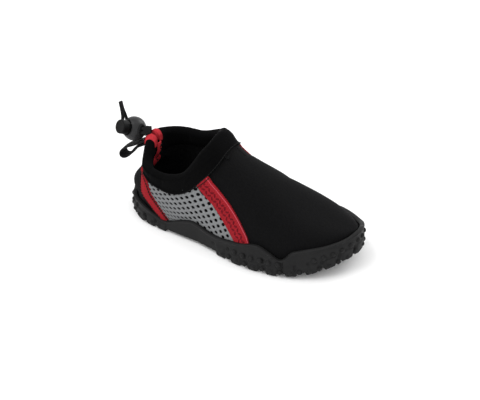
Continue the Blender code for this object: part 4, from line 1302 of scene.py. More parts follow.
def band_sections(ways, side, low, puff=0.0, turns=14):
    """Sections of the padded band at several ways: up the outside, over the top, down the inside."""
    ways = np.asarray(ways, float)
    radius = ROLL_RADIUS + puff
    columns = []
    if low < NOTCH_LEVEL:
        for part in np.concatenate([[s.level for s in COLLAR_SWELLS[:4]], np.linspace(0.2, 0.74, 10)]):
            proud = through([(s.level, s.proud) for s in COLLAR_SWELLS], part)
            columns.append(edge_point(blend(low, 1.0, part), ways, side, proud + puff))
    else:
        for part in np.linspace(0.0, 0.75, 6):
            columns.append(edge_point(blend(low, 1.0, part), ways, side, COLLAR_BULGE + puff))
    top = edge_point(1.0, ways, side, 0.0)
    below = edge_point(1.0 - ROLL_PROBE, ways, side, 0.0)
    up = unit(top - below)
    normal = unit(edge_point(1.0, ways, side, PROBE) - top)
    centre = top + normal * (COLLAR_BULGE - ROLL_RADIUS) - up * ROLL_RADIUS
    for k in range(turns + 1):
        turn = math.pi * k / turns
        columns.append(centre + normal * radius * math.cos(turn) + up * radius * math.sin(turn))
    for part in np.linspace(0.7, 0.0, 9):
        level = blend(low, 1.0, part)
        columns.append(edge_point(level, ways, side, -float(band_depth(level)) - puff))
    return np.stack(columns, axis=1)


def crease_band(spots, side):
    """The band's points moved in and out by its creases and slow swells."""
    flat = spots.reshape(-1, 3)
    swell = relief(flat, COLLAR_CREASES, side) + unevenness(flat, BAND_SWELLS)
    away = unit(spots - spots.mean(axis=1, keepdims=True))
    return spots + away * swell.reshape(spots.shape[:2])[..., None]


def build_collar():
    """Padded neoprene band round the mouth, open at the centre back where its ends are bound."""
    notch = way_at(NOTCH_LEVEL, NOTCH_HALF)
    start = way_at(SLIT_LEVEL, SLIT_HALF + BINDING_GAP)
    ahead = blend(notch, 1.0, np.linspace(0, 1, COLLAR_COLUMNS))
    ways = np.concatenate([np.linspace(start, notch, SLIT_COLUMNS)[:-1], ahead])
    halves = {side: crease_band(band_sections(ways, side, 0.0), side) for side in (OUTER, INNER)}
    rows = np.concatenate([halves[OUTER], halves[INNER][-2::-1]])
    collar = mesh_piece(
        "collar_band", rows.reshape(-1, 3), ring_faces(*rows.shape[:2]), "collar", smooth_angle=50,
    )
    settle(collar, "neoprene", "collar")


def build_end_bindings():
    """Red caps sewn over the two ends of the collar's roll."""
    start = way_at(SLIT_LEVEL, SLIT_HALF)
    end = way_at(NOTCH_LEVEL, BINDING_END)
    for side in (OUTER, INNER):
        ways = np.linspace(start, end, BINDING_COLUMNS)
        rows = band_sections(ways, side, BINDING_LEVEL, puff=BINDING_PUFF)
        middle = rows.mean(axis=1, keepdims=True)
        share = np.linspace(0.0, 1.0, len(ways))
        pull = 1 - 0.34 * (1 - smooth(share / 0.22)) - 0.10 * smooth((share - 0.86) / 0.14)
        pull = pull + 0.045 * np.sin(share * math.pi) ** 2
        rows = middle + (rows - middle) * pull[:, None, None]
        size = rows.shape[1]
        flat = rows.reshape(-1, 3)
        flat = flat + unevenness(flat, BINDING_SWELLS)[:, None] * np.array([0.3, 0.6, 0.7])
        around = np.tile(np.arange(size) * 0.0009, len(ways))
        uv = np.stack([around, np.repeat(share * 0.009, size)], axis=1)
        binding = mesh_piece(f"bound_end_{WORDS[side]}", flat, ring_faces(len(ways), size), "binding", uv)
        settle(binding, "red_tape", f"end_binding_{WORDS[side]}")


def inside_heel(level):
    """A spot on the inside of the heel's back seam."""
    return edge_point(level, 0.0, OUTER, -float(band_depth(level)) - TAPE_SUNK)


def build_heel_tape():
    """Red tape down the inside of the heel's back seam, flared at its lower end."""
    levels = blend(NOTCH_LEVEL + 0.12, TAPE_LOW_LEVEL, np.linspace(0, 1, 36))
    columns = np.linspace(-1.0, 1.0, 9)
    sheets = []
    for lift in (TAPE_LIFT, TAPE_BACK):
        rows = []
        for k, level in enumerate(levels):
            spot = inside_heel(level)
            share = k / (len(levels) - 1)
            half = TAPE_HALF + (TAPE_BOW_HALF - TAPE_HALF) * smooth((share - 0.72) / 0.14)
            half = half - 0.0012 * smooth((share - 0.93) / 0.07)
            dome = (1 - columns**2) * TAPE_DOME
            rows.append([(spot[0] + lift + d, HEEL.y + c * half, spot[2]) for c, d in zip(columns, dome)])
        sheets.append(np.array(rows))
    points, faces = closed_sheet(*sheets)
    uv = np.stack(np.meshgrid(columns * TAPE_HALF, levels * 0.02), axis=-1).reshape(-1, 2)
    tape = mesh_piece("heel_tape", points, faces, "binding", np.tile(uv, (2, 1)))
    settle(tape, "red_tape", "heel_seam_tape")


# Sides


def side_turn(name):
    """A side edge as turn by share of height, from the SIDE_LINES table."""
    knots = [(row.share, getattr(row, name) * SEAM_FRONT) for row in SIDE_LINES]
    return lambda v: station(through(knots, v))


def along_last(turn):
    """The distance from the heel that a station's angle stands for."""
    return LAST_LENGTH * (1 - np.cos(turn)) / 2


def side_spots(side, turns, shares, proud):
    """Points of a side strip. Its ends tuck under the sole's rim and the collar's edge."""
    x = along_last(turns)
    high = seam_height(along_last(turns[-1]), side) + TUCK
    z = blend(rim_height(x, side) - TUCK, high, shares)
    return skin(x, z, side, proud)


def build_tape_strip(name, side, rear, front, crown, material, slot, node, columns=14, rows=60):
    """A tape on the side, with a profile across it: crown gives its thickness by share of width."""
    u, v = np.meshgrid(np.linspace(0, 1, columns), np.linspace(0, 1, rows))
    turns = blend(rear(v), front(v), u)
    ripple = 1 + 0.05 * np.sin(v * 60.0) * np.sin(u * math.pi)
    thick = through(crown, u) * ripple
    upper = side_spots(side, turns, v, GAP + thick)
    lower = side_spots(side, turns, v, 0.0)
    points, faces = closed_sheet(upper, lower)
    width = np.linalg.norm(upper[:, -1] - upper[:, 0], axis=-1)
    run = run_along(upper[:, 0])
    uv = np.stack([u * width[:, None], np.repeat(run[:, None], columns, axis=1)], axis=-1).reshape(-1, 2)
    strip = mesh_piece(name, points, faces, material, np.tile(uv, (2, 1)), smooth_angle=55)
    return settle(strip, slot, node)


def mesh_knot(column, row):
    """(x, z) of a mesh crossing, from the heel. Columns count to the rear and rows down."""
    steps = np.linspace(min(0.0, column), max(0.0, column), 41)
    tilt = np.radians(MESH_TILT - MESH_TILT_FALL * np.clip(steps, -3, 14))
    pitch = np.maximum(MESH_PITCH_LEAST, MESH_PITCH - MESH_PITCH_FALL * steps)
    sign = 1 if column >= 0 else -1
    x = MESH_START[0] - sign * np.trapz(pitch * np.cos(tilt), steps)
    z = MESH_START[1] - sign * np.trapz(pitch * np.sin(tilt), steps)
    lean = math.radians(min(MESH_LEAN_MOST, MESH_LEAN + MESH_LEAN_GROWTH * column))
    return x + row * MESH_ROW_PITCH * math.sin(lean), z - row * MESH_ROW_PITCH * math.cos(lean)


def inside_panel(x, z, side, behind, ahead, margin):
    """True where a spot of the side lies between the piping, the ribbon, the rim and the collar."""
    if not MESH_REACH[0] < x < MESH_REACH[1]:
        return False
    low, high = float(rim_height(x, side)), float(seam_height(x, side))
    ends = []
    for line in (behind, ahead):
        top = float(seam_height(along_last(line(1.0)), side))
        share = min(1.0, max(0.0, (z - low) / (top - low)))
        ends.append(float(along_last(line(share))))
    return ends[0] - margin < x < ends[1] + margin and low - margin < z < high + margin


def build_mesh_panel(side, cloth):
    """Open net between piping and ribbon, its cells carried on under the pieces round it."""
    settings = bpy.context.scene.shoe_fabric
    behind, ahead = side_turn("behind"), side_turn("ahead")
    knots, faces = {}, []
    points, uv = [], []

    def knot(c, r):
        if (c, r) not in knots:
            x, z = mesh_knot(c - 0.5, r - 0.5)
            knots[c, r] = len(points)
            points.append((x, z))
            uv.append((c * MESH_UV[0], r * MESH_UV[1]))
        return knots[c, r]

    for c in MESH_COLUMNS:
        for r in MESH_ROWS:
            x, z = mesh_knot(c, r)
            if inside_panel(x, z, side, behind, ahead, MESH_MARGIN):
                faces.append([knot(c, r), knot(c + 1, r), knot(c + 1, r + 1), knot(c, r + 1)])
    flat = np.array(points)
    spots = skin(np.maximum(0.0008, flat[:, 0]), flat[:, 1], side, GAP)
    sheet = mesh_piece(f"net_{WORDS[side]}", spots, faces, "mesh", uv)
    face_outward(sheet, SHOE_INSIDE)
    net = run_tree(
        sheet, cloth, f"mesh_net_{WORDS[side]}", hole_share=settings.hole_share,
        thickness=settings.mesh_thickness, material=MATERIALS["mesh"],
    )
    settle(net, "grey_mesh", f"mesh_panel_{WORDS[side]}")


def build_sides():
    """Nets, ribbons and pipings of both sides."""
    settings = bpy.context.scene.shoe_fabric
    cloth = mesh_cloth_tree()
    thick, puff = settings.ribbon_thickness, settings.piping_thickness
    ribbon = ((0.0, thick * 0.8), (0.06, thick), (0.2, thick * 0.92), (0.5, thick), (0.8, thick * 0.92),
              (0.94, thick), (1.0, thick * 0.8))
    piping = ((0.0, puff * 0.62), (0.2, puff * 0.86), (0.5, puff), (0.8, puff * 0.86), (1.0, puff * 0.62))
    rear, behind, ahead, front = (side_turn(n) for n in ("rear", "behind", "ahead", "front"))
    for side in (OUTER, INNER):
        word = WORDS[side]
        build_mesh_panel(side, cloth)
        build_tape_strip(
            f"front_tape_{word}", side, ahead, front, ribbon, "tape", "red_tape", f"front_ribbon_{word}",
        )
        build_tape_strip(
            f"rear_tape_{word}", side, rear, behind, piping, "tape", "red_tape", f"rear_piping_{word}",
        )


# Stitching


def strip_path(side, name_a, name_b, share, lift, count=90, low=0.03, high=0.97):
    """A path up a side strip, at a share of its width, with its ways out."""
    v = np.linspace(low, high, count)
    turns = blend(side_turn(name_a)(v), side_turn(name_b)(v), share)
    x = along_last(turns)
    top = along_last(blend(side_turn(name_a)(1.0), side_turn(name_b)(1.0), share))
    z = blend(rim_height(x, side), seam_height(top, side), v)
    return skin_path(x, z, side, np.full(count, lift))


def ribbon_end_path(side, share, lift, count=30):
    """A path across the ribbon's top end."""
    u = np.linspace(0.0, 1.0, count)
    x = along_last(blend(side_turn("ahead")(share), side_turn("front")(share), u))
    top = along_last(blend(side_turn("ahead")(1.0), side_turn("front")(1.0), u))
    z = blend(rim_height(x, side), seam_height(top, side), share)
    return skin_path(x, z, side, np.full(count, lift))


def collar_path(side, level, lift, start=0.1, count=160):
    """A path along a line round the collar to its front, with its ways out."""
    ways = np.linspace(start, 1.0, count)
    here = edge_point(level, ways, side, lift)
    out = edge_point(level, ways, side, lift + PROBE) - here
    return here, unit(out)


def sew(tree, name, paths, seam, thread, slot="red_tape"):
    """Stitches one seam along its paths."""
    made = run_tree(wire("seam", paths), tree, name, material=MATERIALS[thread], **seam._asdict())
    settle(made, slot)


def build_stitching():
    """Thread on the tapes, down the heel tape and along the collar's seam, with dark stitch lines along the
    piping's edges that paint the seam's shadow.
    """
    sewing = bpy.context.scene.shoe_sewing
    ribbon_top = GAP + bpy.context.scene.shoe_fabric.ribbon_thickness
    tree = stitch_tree()
    for side in (OUTER, INNER):
        word = WORDS[side]
        paths = [strip_path(side, "ahead", "front", share, ribbon_top - THREAD_SUNK)
                 for share in RIBBON_SEAMS]
        sew(tree, f"ribbon_thread_{word}", paths, RIBBON_ZIGZAG, "red_thread")
        edge = strip_path(
            side, "ahead", "front", RIBBON_EDGE_SHARE, ribbon_top - THREAD_SUNK, low=0.02, high=0.99,
        )
        sew(tree, f"ribbon_edge_thread_{word}", [edge], RIBBON_EDGE, "pink_thread")
        paths = [ribbon_end_path(side, RIBBON_END_SHARE, ribbon_top)]
        sew(tree, f"ribbon_end_thread_{word}", paths, RIBBON_END, "dark_thread")
        # Dark stitch lines at both edges of the rear piping: painted shadow of the seam between piping and
        # mesh
        paths = [strip_path(side, "rear", "behind", share, GAP + PIPING_SHADE_LIFT, low=0.02, high=0.98)
                 for share in PIPING_SHADE_SHARES]
        sew(tree, f"piping_thread_{word}", paths, PIPING_SHADE_STITCH, "dark_thread")
    levels = np.linspace(NOTCH_LEVEL, TAPE_LOW_LEVEL + 0.04, 60)
    spots = np.array([inside_heel(level) for level in levels]) + (TAPE_LIFT + TAPE_DOME, 0.0, 0.0)
    paths = [(spots, np.tile((1.0, 0.0, 0.0), (len(levels), 1)))]
    sew(tree, "heel_tape_thread", paths, TAPE_ZIGZAG, "dark_thread")
    collar = Seam(sewing.stitch_pitch, sewing.stitch_length, sewing.thread_radius, 0.0)
    paths = [collar_path(side, COLLAR_SEAM_LEVEL, COLLAR_SEAM_LIFT) for side in (OUTER, INNER)]
    sew(tree, "collar_thread", paths, collar, "dark_thread", slot="neoprene")


# Cords, cord lock and loop


def lock_axes():
    """The cord hole's axis, the axis across both cords, and the button's axis, square to each other."""
    button = LOCK_BUTTON.normalized()
    hole = (LOCK_HOLE - button * LOCK_HOLE.dot(button)).normalized()
    return hole, button.cross(hole), button


def cord_route(word):
    """The cord's route through the lock, as the part's source has it."""
    hole, across, _ = lock_axes()
    centre = LOCK_CENTRE + across * CORD_SPACING / 2 * (-1 if word == "outer" else 1)
    reach = hole * (BALL_RADIUS + CORD_LEAD)
    straight = [centre + reach, centre + reach * 0.33, centre - reach * 0.33, centre - reach]
    knots = [CORD_EXITS[word], *straight, *CORD_TAILS[word]]
    return [in_frame(spot) for spot in knots]


def build_cords():
    """The two runs of elastic cord, from the bound ends through the lock to their cut tips."""
    sides = bpy.context.scene.shoe_hardware.cord_sides
    for word in ("outer", "inner"):
        route = curve_points(cord_route(word), 6)
        cord = tube(f"elastic_cord_{word}", route, CORD_DIAMETER / 2, sides, "cord")
        settle(cord, "cord", f"drawcord_{word}")


def turned(name, profile, sides, material, smooth_angle=35):
    """A (radius, height) profile turned round the button's axis at the lock's centre."""
    hole, across, button = lock_axes()
    centre = in_frame(LOCK_CENTRE)
    points = []
    for radius, height in profile:
        for k in range(sides):
            turn = 2 * math.pi * k / sides
            spoke = hole * math.cos(turn) + across * math.sin(turn)
            points.append(centre + spoke * radius + button * height)
    faces = grid_faces(len(profile), sides, closed_columns=True)
    return mesh_piece(name, points, faces, material, smooth_angle=smooth_angle)


def drill(piece, name, half_width, radius, travel):
    """Cuts a slot with round ends right through a lock piece, along the cords."""
    hole, across, button = lock_axes()
    centre = in_frame(LOCK_CENTRE)
    points = []
    for reach in (-1, 1):
        for k in range(DRILL_SIDES):
            turn = 2 * math.pi * (k + 0.5) / DRILL_SIDES
            side = math.copysign(max(0.0, half_width - radius), math.cos(turn))
            height = (travel if math.sin(turn) > 0 else 0.0) + radius * math.sin(turn)
            spot = across * (side + radius * math.cos(turn)) + button * height
            points.append(centre + hole * reach * 2 * BALL_RADIUS + spot)
    cutter = mesh_piece(name, points, ring_faces(2, DRILL_SIDES), "ball")
    slot = piece.modifiers.new("slot", "BOOLEAN")
    slot.operation = "DIFFERENCE"
    slot.solver = "EXACT"
    slot.object = cutter
    apply_modifiers(piece)
    bpy.data.objects.remove(cutter)


def apply_modifiers(piece):
    """Makes a piece's evaluated mesh its own."""
    graph = bpy.context.evaluated_depsgraph_get()
    mesh = bpy.data.meshes.new_from_object(piece.evaluated_get(graph), depsgraph=graph)
    old = piece.data
    piece.modifiers.clear()
    piece.data = mesh
    bpy.data.meshes.remove(old)


def build_cord_lock():
    """Ball with a seam line and a sunk bore, and its push button, both slotted for the cords."""
    bore = BUTTON_RADIUS + BORE_ROOM
    mouth = math.asin(bore / BALL_RADIUS)
    profile = [(0.0, -BALL_RADIUS)]
    for k in range(1, 40):
        angle = math.pi - (math.pi - mouth) * k / 40
        dent = SEAM_DENT if abs(angle - math.pi / 2) < 0.03 else 0.0
        profile.append(((BALL_RADIUS - dent) * math.sin(angle), (BALL_RADIUS - dent) * math.cos(angle)))
    rim = BALL_RADIUS * math.cos(mouth)
    profile += [(bore + 0.0005, rim + 0.0002), (bore + 0.0001, rim + 0.0001), (bore, rim - 0.0004)]
    profile += [(bore, BORE_FLOOR), (0.0, BORE_FLOOR)]
    ball = turned("ball_shell", profile, BALL_SIDES, "ball")
    room = CORD_DIAMETER / 2 + CORD_ROOM
    drill(ball, "ball_slot", CORD_SPACING / 2 + room, room, 0.0)
    settle(ball, "lock_plastic", "lock_ball")

    profile = [(0.0, -BUTTON_FOOT), (BUTTON_RADIUS, -BUTTON_FOOT)]
    profile.append((BUTTON_RADIUS, BUTTON_END - BUTTON_BEVEL))
    for k in range(1, 7):
        turn = math.pi / 2 * k / 6
        inside, below = BUTTON_BEVEL * (1 - math.cos(turn)), BUTTON_BEVEL * (1 - math.sin(turn))
        profile.append((BUTTON_RADIUS - inside, BUTTON_END - below))
    profile += [(BUTTON_RADIUS - 0.0011, BUTTON_END), (BUTTON_RADIUS - 0.0014, BUTTON_END - 0.00025)]
    profile += [(0.0, BUTTON_END - 0.00035)]
    button = turned("push_button", profile, BUTTON_SIDES, "button", 30)
    drill(button, "button_slot", CORD_SPACING / 2 + room, room, BUTTON_TRAVEL)
    settle(button, "lock_plastic", "lock_button", body="button")


def build_ports():
    """Raised rings round the two sides where the cords pass the ball, in the darker cord material: painted
    shade on the holes' rims.
    """
    hole, across, button = lock_axes()
    centre = in_frame(LOCK_CENTRE)
    points, faces = [], []
    half = CORD_SPACING / 2 + CORD_DIAMETER / 2 + CORD_ROOM
    wide, tall = half + PORT_WIDER, CORD_DIAMETER / 2 + PORT_TALLER
    for reach in (1, -1):
        first = len(points)
        for lift, share in PORT_RINGS:
            for k in range(PORT_SIDES):
                turn = 2 * math.pi * k / PORT_SIDES
                a, b = math.cos(turn) * wide * share, math.sin(turn) * tall * share
                far = math.sqrt(max(0.0, BALL_RADIUS**2 - a * a - b * b))
                points.append(centre + hole * reach * (far - PORT_SUNK + lift) + across * a + button * b)
        faces += grid_faces(
            len(PORT_RINGS), PORT_SIDES, closed_rows=True, closed_columns=True, start=first,
        )
    # The rings take the darker cord material, not the ball's plastic: painted shade round the cord holes.
    made = mesh_piece("cord_ports", points, faces, "cord", smooth_angle=60)
    settle(made, "lock_plastic")


def build_sleeve():
    """Black cloth sleeve round both cords, from the slit to the lock."""
    runs = [curve_points(cord_route(word), 8)[:7] for word in ("outer", "inner")]
    middle = (runs[0] + runs[1]) / 2
    start = middle[0] + (middle[0] - middle[1]) / np.linalg.norm(middle[0] - middle[1]) * SLEEVE_LEAD
    middle = np.concatenate([[start], middle])
    apart = np.concatenate([[runs[1][0] - runs[0][0]], runs[1] - runs[0]])
    tangents = unit(np.gradient(middle, axis=0))
    wide = apart - tangents * (apart * tangents).sum(axis=1, keepdims=True)
    reach = np.linalg.norm(wide, axis=1, keepdims=True)
    wide = wide / reach
    tall = np.cross(tangents, wide)
    taper = smooth(np.linspace(0.0, 2.0, len(middle)))[:, None]
    room = blend(SLEEVE_WALL + 0.0001, SLEEVE_ROOM, taper)
    rings = []
    for inside in (0.0, SLEEVE_WALL):
        for k in range(SLEEVE_SIDES):
            turn = 2 * math.pi * k / SLEEVE_SIDES
            a = (reach / 2 + CORD_DIAMETER / 2 + room - inside) * math.cos(turn)
            b = (CORD_DIAMETER / 2 + room - inside) * math.sin(turn)
            rings.append(middle + wide * a + tall * b)
    count = len(middle)
    grid = np.stack(rings, axis=1)
    outer, inner = grid[:, :SLEEVE_SIDES], grid[::-1, SLEEVE_SIDES:]
    loop = np.concatenate([outer, inner])
    ripple = 1 + 0.04 * np.sin(np.arange(2 * count) * 2.4)[:, None, None]
    centre = np.concatenate([middle, middle[::-1]])[:, None]
    loop = centre + (loop - centre) * ripple
    faces = grid_faces(2 * count, SLEEVE_SIDES, closed_rows=True, closed_columns=True)
    sleeve = mesh_piece("cord_sleeve", loop.reshape(-1, 3), faces, "webbing", smooth_angle=70)
    settle(sleeve, "webbing")


def build_loop():
    """Folded webbing loop behind the heel."""
    knots = [(spot[0], 0.0, spot[1]) for spot in LOOP_KNOTS]
    path = curve_points(knots, 8)
    tangents = unit(np.gradient(path, axis=0))
    across = np.stack([-tangents[:, 2], np.zeros(len(path)), tangents[:, 0]], axis=1)
    run = run_along(path)
    outline = []
    for k in range(LOOP_SIDES):
        turn = 2 * math.pi * k / LOOP_SIDES
        c, s = math.cos(turn), math.sin(turn)
        outline.append((math.copysign(abs(c) ** 0.35, c), math.copysign(abs(s) ** 0.8, s)))
    points, uv = [], []
    for n, spot in enumerate(path):
        for wide, deep in outline:
            place = spot + across[n] * deep * LOOP_THICKNESS / 2
            points.append((place[0] + HEEL.x, wide * LOOP_WIDTH / 2 + HEEL.y, place[2]))
            uv.append((wide * LOOP_WIDTH / 2, run[n]))
    loop = mesh_piece("webbing_loop", points, ring_faces(len(path), LOOP_SIDES), "webbing", uv)
    settle(loop, "webbing", "pull_loop")


# Outsole and insole


def plan_curve(side, shares):
    """Points of the last's plan outline from heel to toe at shares of its length, and that length."""
    x = LAST_LENGTH * (1 - np.cos(np.linspace(0, math.pi, 1500))) / 2
    y = last_middle(x) + side * last_half(x)
    run = np.concatenate([[0.0], np.cumsum(np.hypot(np.diff(x), np.diff(y)))])
    wanted = np.asarray(shares) * run[-1]
    return np.stack([np.interp(wanted, run, x), np.interp(wanted, run, y)], axis=-1), run[-1]


def outline_normals(plan, side):
    """The way out of the plan outline at its points, straight back at the heel and ahead at the toe."""
    tangent = unit(np.gradient(plan, axis=0))
    outward = np.stack([tangent[:, 1] * -side, tangent[:, 0] * side], axis=1)
    outward[0], outward[-1] = (-1.0, 0.0), (1.0, 0.0)
    return outward


def lean(x, z):
    """How far the skin at height z stands inside the last's plan outline, across the shoe."""
    across = np.cos(steepness(x, z)) ** (2 / squareness(x))
    half = last_half(x)
    return np.minimum(np.minimum(half * (1 - across), half * LEAN_SHARE), LEAN_LIMIT)


def lug_mask(shares, length, across_only=False):
    """1 in a lug and 0 between lugs, with a short slope at each side."""
    mask = np.zeros(len(shares))
    for lug in LUGS:
        if across_only and not lug.across:
            continue
        away = np.abs(shares - lug.share) * length
        mask = np.maximum(mask, 1 - smooth((away - LUG_LENGTH / 2) / LUG_STEP))
    return mask


def sole_profile(plan, shares, length, side, facing):
    """Rings of (offset from the outline, height over the floor) up outside and down inside."""
    x = plan[:, 0]
    low = underside(x)
    lug, bar = lug_mask(shares, length), lug_mask(shares, length, True)
    foot = LUG_HEIGHT * (1 - lug)
    face = SOLE_CLEARANCE + SOLE_WALL
    proud = face + LUG_PROUD * lug
    rim = rim_height(x, side) - low
    floor = footbed(x) - low
    rib = np.minimum(RIB_TOP, rim - LIP_HEIGHT - GROOVE_STEP)
    toe = smooth((shares - 0.80) / 0.06)
    rows = [(0 * x - LUG_REACH - LUG_STEP, LUG_HEIGHT * (1 - bar), False), (0 * x - LUG_REACH, foot, False)]
    for turn in np.linspace(0, math.pi / 2, 6):
        rows.append((
            proud - EDGE_ROUND * (1 - math.sin(turn)), foot + EDGE_ROUND * (1 - math.cos(turn)), turn > 0.1,
        ))
    for share in np.linspace(0.15, 1.0, 7):
        rows.append((proud, blend(foot + EDGE_ROUND, rib - RIB_SLOPE, share), True))
    rows.append((blend(face, proud, 0.4), rib - 0.0001, True))
    top = np.maximum(rim - (LIP_HEIGHT + GROOVE), rib + GROOVE_STEP)
    for share in np.linspace(0.0, 1.0, 7):
        rows.append((face + 0 * x, blend(rib + 0.0003, top, share), True))
    lip = LIP_PROUD * (0.75 + 0.5 * toe)
    rows.append((face + lip * 0.2, rim - LIP_HEIGHT, True))
    for turn in np.linspace(-0.3, math.pi / 2, 7):
        offset = face - LIP_ROUND_IN + (lip + LIP_ROUND_IN) * math.cos(turn)
        rows.append((offset, rim - LIP_ROUND_UP + LIP_ROUND_UP * math.sin(turn), True))
    rows.append((SOLE_CLEARANCE + 0.0008 + 0 * x, rim - 0.0001, True))
    rows.append((SOLE_CLEARANCE + 0.0003 + 0 * x, rim - 0.0006, True))
    rows.append((SOLE_CLEARANCE + 0 * x, blend(floor, rim, 0.55), True))
    rows.append((SOLE_CLEARANCE + 0 * x, blend(floor, rim, 0.2), False))
    rows.append((SOLE_CLEARANCE + 0 * x, floor, False))
    rings = []
    for offset, height, leans in rows:
        if leans:
            offset = offset - lean(x, low + height) * facing
            for hollow in HOLLOWS:
                away = ((shares - hollow.share) * length / (hollow.length / 2)) ** 2
                away = away + ((low + height - hollow.height) / (hollow.tall / 2)) ** 2
                offset = offset - hollow.depth * np.exp(-(away**2) * 0.6) * (offset > 0.0018)
        rings.append((offset, height))
    return rings


def plan_body(name, rings, material, smooth_angle):
    """A closed piece from each side's columns of rings, which meet at the heel and the toe."""
    loop = np.concatenate([rings[OUTER], rings[INNER][-2:0:-1]])
    total, size = loop.shape[:2]
    across = crossing_faces(total, size, len(rings[OUTER]) - 1)
    points = loop.reshape(-1, 3) + np.array(HEEL)
    faces = grid_faces(total, size, closed_rows=True) + across
    return mesh_piece(name, points, faces, material, smooth_angle=smooth_angle)


def build_outsole():
    """Moulded rubber sole: lugs, hollowed side, beaded rim, inside floor."""
    shares = np.unique(np.concatenate([
        np.linspace(0, 1, SOLE_COLUMNS),
        [lug.share + sign * (LUG_LENGTH / 2 + step) / 0.2 for lug in LUGS for sign in (-1, 1)
         for step in (0.0, LUG_STEP / 2, LUG_STEP)],
    ]).clip(0, 1))
    rings = {}
    for side in (OUTER, INNER):
        plan, length = plan_curve(side, shares)
        outward = outline_normals(plan, side)
        profile = sole_profile(plan, shares, length, side, np.abs(outward[:, 1]))
        spots = []
        for offset, height in profile:
            flat = plan + outward * offset[:, None]
            spots.append(np.column_stack([flat, underside(flat[:, 0]) + height]))
        rings[side] = np.stack(spots, axis=1)
    settle(plan_body("rubber_sole", rings, "rubber", 42), "sole_rubber", "outsole")


def knob_tree():
    """A round knob on every point of a helper mesh."""
    tree, start, end = geometry_tree("side_knobs", [("Radius", "float"), ("Material", "material")])
    knob = add_node(tree, "GeometryNodeMeshIcoSphere", subdivisions=3)
    tree.links.new(start.outputs["Radius"], knob.inputs["Radius"])
    place = tree.nodes.new("GeometryNodeInstanceOnPoints")
    tree.links.new(start.outputs["Geometry"], place.inputs["Points"])
    tree.links.new(knob.outputs["Mesh"], place.inputs["Instance"])
    smooth_faces = tree.nodes.new("GeometryNodeSetShadeSmooth")
    tree.links.new(place.outputs[0], smooth_faces.inputs["Geometry"])
    finish_tree(tree, start, smooth_faces.outputs[0], end)
    return tree


def build_knobs():
    """Round knobs in staggered rows on the sole's side at heel and forefoot."""
    points = []
    for side in (OUTER, INNER):
        length = plan_curve(side, [0.0])[1]
        for row in KNOB_ROWS:
            shares = np.arange(row.start + row.shift * row.pitch / length, row.end, row.pitch / length)
            plan, _ = plan_curve(side, shares)
            ahead, _ = plan_curve(side, np.minimum(1.0, shares + SHARE_PROBE))
            behind, _ = plan_curve(side, np.maximum(0.0, shares - SHARE_PROBE))
            along = unit(ahead - behind)
            outward = np.stack([-along[:, 1], along[:, 0]], axis=1) * side
            height = underside(plan[:, 0]) + row.height
            out = SOLE_CLEARANCE + SOLE_WALL + LUG_PROUD - KNOB_SUNK
            out = out - lean(plan[:, 0], height) * np.abs(outward[:, 1])
            flat = plan + outward * out[:, None]
            points += [in_frame((x, y, z)) for (x, y), z in zip(flat, height)]
    knobs = run_tree(
        helper("knob_spots", points), knob_tree(), "side_knobs", radius=KNOB_RADIUS,
        material=MATERIALS["rubber"],
    )
    settle(knobs, "sole_rubber")


def tread_tree():
    """A small block on every point of a helper mesh."""
    tree, start, end = geometry_tree(
        "tread_blocks", [("Radius", "float"), ("Height", "float"), ("Material", "material")]
    )
    block = add_node(tree, "GeometryNodeMeshCone", vertices=6, fill_type="NGON")
    top = maths(tree, "MULTIPLY", start.outputs["Radius"], 0.78)
    tree.links.new(start.outputs["Radius"], block.inputs["Radius Top"])
    tree.links.new(top, block.inputs["Radius Bottom"])
    tree.links.new(start.outputs["Height"], block.inputs["Depth"])
    place = tree.nodes.new("GeometryNodeInstanceOnPoints")
    tree.links.new(start.outputs["Geometry"], place.inputs["Points"])
    tree.links.new(block.outputs["Mesh"], place.inputs["Instance"])
    finish_tree(tree, start, place.outputs[0], end)
    return tree


def build_tread():
    """Small tread blocks between the sole's lugs, clear of the floor."""
    rubber = bpy.context.scene.shoe_rubber
    pitch = rubber.tread_pitch
    bars = [plan_curve(OUTER, [lug.share])[0][0][0] for lug in LUGS if lug.across]
    points = []
    for row in range(int(LAST_LENGTH / (pitch * TREAD_ROW_SHARE)) + 1):
        x = TREAD_START + row * pitch * TREAD_ROW_SHARE
        near_bar = min(abs(x - bar) for bar in bars) < LUG_LENGTH / 2 + pitch * 0.42
        if x > LAST_LENGTH - TREAD_END or near_bar:
            continue
        reach = float(last_half(x)) - LUG_REACH - pitch * 0.45
        middle = float(last_middle(x))
        for step in range(-8, 9):
            y = step * pitch + (pitch / 2 if row % 2 else 0.0)
            if abs(y - middle) < reach:
                z = float(underside(x)) + LUG_HEIGHT - rubber.tread_height
                points.append(in_frame((x, y, z)))
    blocks = run_tree(
        helper("tread_spots", points), tread_tree(), "tread_blocks", radius=pitch * TREAD_BLOCK_SHARE,
        height=rubber.tread_height + 0.0003, material=MATERIALS["rubber"],
    )
    settle(blocks, "sole_rubber")


def build_insole():
    """Footbed of covered foam, dished under the heel, with a turned edge."""
    shares = np.linspace(0, 1, INSOLE_COLUMNS)
    rings = {}
    for side in (OUTER, INNER):
        plan, _ = plan_curve(side, shares)
        inward = -outline_normals(plan, side)
        spots = []
        for offset, height in INSOLE_LEVELS:
            flat = plan + inward * np.minimum(offset, 0.9 * last_half(plan[:, 0]) + 0.003)[:, None]
            spots.append(np.column_stack([flat, footbed(flat[:, 0]) + height]))
        rings[side] = np.stack(spots, axis=1)
    settle(plan_body("footbed_sheet", rings, "footbed", 50), "insole_foam", "insole")


# Stage


